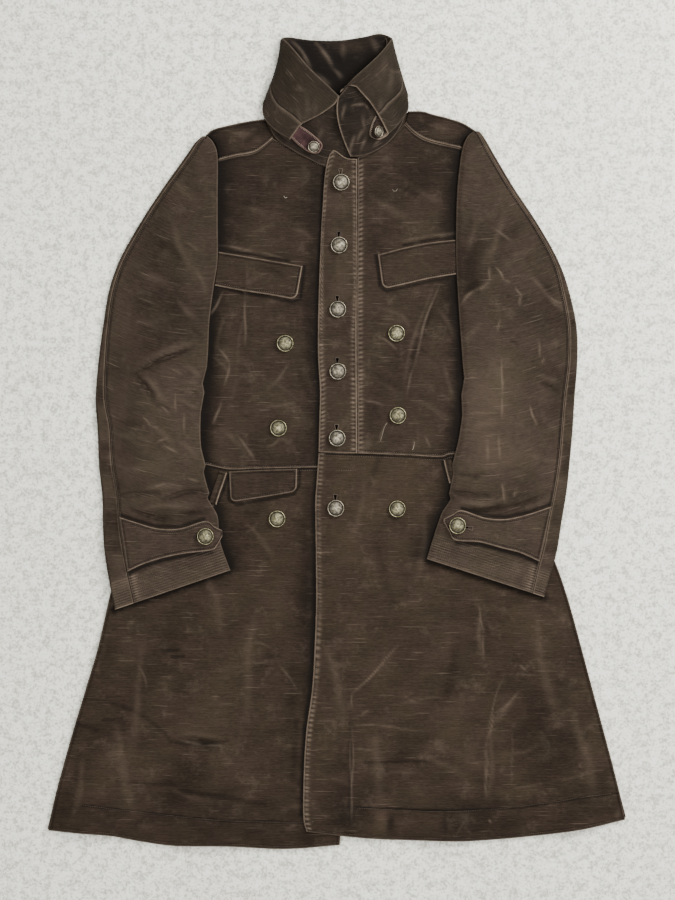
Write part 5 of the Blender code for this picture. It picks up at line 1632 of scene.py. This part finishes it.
def plain_piece(name, parts):
    """One object from several lists of points, faces and a material each."""
    verts, faces, finishes, numbers = [], [], [], []
    for points, part_faces, finish in parts:
        start = len(verts)
        verts += [tuple(p * MM) for p in points]
        faces += [tuple(start + i for i in face) for face in part_faces]
        if finish not in finishes:
            finishes.append(finish)
        numbers += [finishes.index(finish)] * len(part_faces)
    mesh = bpy.data.meshes.new(name)
    mesh.from_pydata(verts, [], faces)
    for finish in finishes:
        mesh.materials.append(finish)
    mesh.polygons.foreach_set("material_index", numbers)
    mesh.validate()
    form = bmesh.new()
    form.from_mesh(mesh)
    bmesh.ops.recalc_face_normals(form, faces=form.faces)
    form.to_mesh(mesh)
    form.free()
    mesh.shade_smooth()
    piece = placed(name, mesh)
    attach(piece, "root")


def buttonhole(name, x, y, along_x, along_y, length, on):
    """A keyhole slot from its foot at x, y, running length millimetres, worked with thread."""
    turn = np.linspace(0, 2 * math.pi, SLOT_POINTS, endpoint=False)
    eye = np.where(np.cos(turn) > 0.55, 2.9, 1.9)
    eye = np.convolve(np.tile(eye, 3), np.ones(9) / 9, "same")[SLOT_POINTS:2 * SLOT_POINTS]
    forth = np.cos(turn) * length / 2 + length / 2
    across = np.sign(np.sin(turn)) * np.minimum(np.abs(np.sin(turn)) * 4.5, 1) * eye
    px = x + along_x * forth - along_y * across
    py = y + along_y * forth + along_x * across
    z = on(px, py)
    ring, ring_faces = tube(np.stack([px, py, z + 0.15], 1),
                            0.75 + 0.14 * np.cos(turn * 42), 6, True)
    middle = np.array([[x + along_x * length / 2, y + along_y * length / 2]])
    floor_z = on(middle[:, 0], middle[:, 1])[0] + 0.12
    core = np.stack([x + (px - x) * 0.97, y + (py - y) * 0.97, np.full(SLOT_POINTS, floor_z)], 1)
    core_faces = [tuple(range(SLOT_POINTS))]
    plain_piece(name, [(ring, ring_faces, HOLE_THREAD), (core, core_faces, SLOT_SHADOW)])


placket_top = heights("front_placket", "left_front_skirt")
for number, (x, y) in enumerate(CENTRE_BUTTONS, 1):
    buttonhole(f"buttonhole_{number}", x - 1, y + 2, 0.0, 1.0, 18.5, placket_top)
TAB_TOPS = {side: heights(f"{side}_cuff_tab") for side in ("left", "right")}
buttonhole("left_cuff_buttonhole", 184, -127, 0.985, -0.17, 20.0, TAB_TOPS["left"])
buttonhole("right_cuff_buttonhole", -198, -144, -0.985, 0.17, 13.0, TAB_TOPS["right"])

# The buttons: cast metal, a thin raised rim round a dark groove and a low hammered dome. The
# centre ones are pewter and the others old brass, each tied on by thread behind it.
def metal_material(name, bright, dull, grime_and_shade, roughness):
    """Cast metal, cloudy where it is handled, dark in the groove and the hammered hollows, and darkened
    towards the dome's edge and on the underside as painted shade.
    """
    made, w, shader = new_material(name)
    place = w.place()
    dirt_and_shade = w.painted("shade_and_tone")
    cloud = w.noise(place, 260.0, 4.0, 0.65)
    colour = w.mix(w.ramp(cloud, 0.30, 0.70), dull, bright)
    colour = w.mix(dirt_and_shade, colour, grime_and_shade)
    w.feed(shader, "Base Color", colour)
    w.feed(shader, "Metallic", w.math("SUBTRACT", 1.0, w.times(dirt_and_shade, 0.75)))
    rough = w.add(w.times(cloud, 0.25), w.add(w.times(dirt_and_shade, 0.4), roughness))
    w.feed(shader, "Roughness", rough)
    w.bump(shader, w.noise(place, 900.0, 3.0), 0.25, 0.0002)
    return made


PEWTER = metal_material("pewter_metal", srgb(176, 168, 150), srgb(86, 77, 64), srgb(16, 11, 8), 0.24)
BRASS = metal_material("brass_metal", srgb(172, 166, 134), srgb(84, 77, 55), srgb(18, 13, 8), 0.24)
BUTTON_RADIUS, STRAP_BUTTON_RADIUS = 12.6, 8.6
SEAT_SHARE, SEAT_GAP, BUTTON_SIDES = 0.7, 0.2, 44
RIGHT_SIDE_BUTTONS = [(-77, 147), (-87, 20), (-89, -116)]
LEFT_SIDE_BUTTONS = [(90, 162), (92, 39), (91, -101)]
CUFF_BUTTONS = {"right": (-196, -142), "left": (181, -126)}
# Columns: share of the radius, height as a share of it, darkness: darkest in the groove, and painted
# shade towards the dome's edge and on the underside
BUTTON_PROFILE = [
    (0.62, 0.00, 0.6), (0.94, 0.08, 0.5), (0.99, 0.13, 0.3), (1.00, 0.19, 0.1), (1.00, 0.26, 0.0),
    (0.985, 0.305, 0.0), (0.955, 0.335, 0.0), (0.915, 0.335, 0.0), (0.885, 0.305, 0.25),
    (0.865, 0.25, 0.95), (0.835, 0.225, 1.0), (0.80, 0.225, 1.0), (0.775, 0.25, 0.9),
    (0.755, 0.285, 0.75), (0.70, 0.32, 0.6), (0.60, 0.37, 0.42), (0.48, 0.41, 0.30), (0.34, 0.44, 0.20),
    (0.18, 0.455, 0.12),
]


def button(node, x, y, radius, finish, on, seed, tilt=(0.0, 0.0), raise_by=0.0):
    """A cast button in place of its solid, turned from the profile and seated on the cloth.

    The seed gives each dome its own low hammered relief, with grime in the hollows."""
    count = BUTTON_SIDES
    turn = np.linspace(0, 2 * math.pi, count, endpoint=False)
    table = np.array(BUTTON_PROFILE)
    across, up, grime_and_shade = (column[:, None] * np.ones(count) for column in table.T)
    dome = smooth((0.74 - across) / 0.12)
    beat = (np.sin(3 * turn + seed)[None] * np.sin(9 * across + seed)
            + 0.7 * np.sin(7 * turn - 2 * seed)[None] * np.sin(17 * across + 2 * seed))
    up = up + 0.022 * dome * beat
    grime_and_shade = np.clip(grime_and_shade + 0.55 * dome * np.clip(-beat, 0, 1), 0, 1)
    points = np.stack([across * np.cos(turn), across * np.sin(turn), up], 2) * radius
    points = np.concatenate([points.reshape(-1, 3), [[0, 0, 0], [0, 0, 0.46 * radius]]])
    grime_and_shade = np.concatenate([grime_and_shade.ravel(), [0.6, 0.0]])
    rows = len(table)
    faces = ring_bands(rows, count)
    for j in range(count):
        m = (j + 1) % count
        faces.append((rows * count, m, j))
        faces.append((rows * count + 1, (rows - 1) * count + j, (rows - 1) * count + m))
    a = np.linspace(0, 2 * math.pi, 9)[:-1]
    seat = SEAT_SHARE * radius
    around = on(x + seat * np.cos(a), y + seat * np.sin(a)).max()
    low = max(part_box(node)[0][2] / MM, around + SEAT_GAP) + raise_by
    turned = Matrix.Rotation(tilt[0], 3, "X") @ Matrix.Rotation(tilt[1], 3, "Y")
    points = points @ np.array(turned).T + [x, y, low]
    mesh = bpy.data.meshes.new(node + "_metal")
    mesh.from_pydata([tuple(p) for p in points * MM], [], faces)
    spread = mesh.attributes.new("shade_and_tone", "FLOAT", "POINT")
    spread.data.foreach_set("value", grime_and_shade)
    mesh.materials.append(finish)
    mesh.shade_smooth()
    piece = placed(node + "_metal", mesh)
    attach(piece, "root")
    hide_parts(node)


for name, places, finish, slot, on, turned in (
        ("centre", CENTRE_BUTTONS, PEWTER, "pewter", placket_top, 1),
        ("right_side", RIGHT_SIDE_BUTTONS, BRASS, "old_brass",
         heights("right_front_bodice", "right_front_skirt"), 2.3),
        ("left_side", LEFT_SIDE_BUTTONS, BRASS, "old_brass",
         heights("left_front_bodice", "left_front_skirt"), 3.1)):
    for number, (x, y) in enumerate(places, 1):
        button(f"{name}_button_{number}", x, y, BUTTON_RADIUS, finish, on, turned * number)
for side, (x, y) in CUFF_BUTTONS.items():
    button(f"{side}_cuff_button", x, y, BUTTON_RADIUS, BRASS, TAB_TOPS[side], x / 30)
button("right_strap_button", -34, 441, STRAP_BUTTON_RADIUS, PEWTER, strap_tops, 1.2,
       tilt=(0.10, 0.0))
button("left_strap_button", 62, 463, STRAP_BUTTON_RADIUS, PEWTER, strap_tops, 2.2,
       tilt=(0.10, 0.75), raise_by=2.2)

# The loose ends: a few pale remnants of sewing thread on the fronts, where old stitches have
# come away. Each lies bent in the nap, held by nothing else.
THREADS = [
    ("loose_thread_1", [(76, 28), (72, 22), (68, 8), (66, 1)]),
    ("loose_thread_2", [(84, 378), (86, 375), (90, 376), (91, 379)]),
    ("loose_thread_3", [(-79, 368), (-77, 365), (-74, 366)]),
    ("loose_thread_4", [(117, -1), (116, -6), (114, -13)]),
]
THREAD_RISE, THREAD_RADIUS = 0.25, 0.28
fronts = heights("left_front_bodice", "right_front_bodice")
for name, route in THREADS:
    line = along(route, np.linspace(0, 1, 24))
    z = fronts(line[:, 0], line[:, 1]) + THREAD_RISE
    points, faces = tube(np.column_stack([line, z]), THREAD_RADIUS, 5, False)
    plain_piece(name, [(points, faces, PALE_THREAD)])
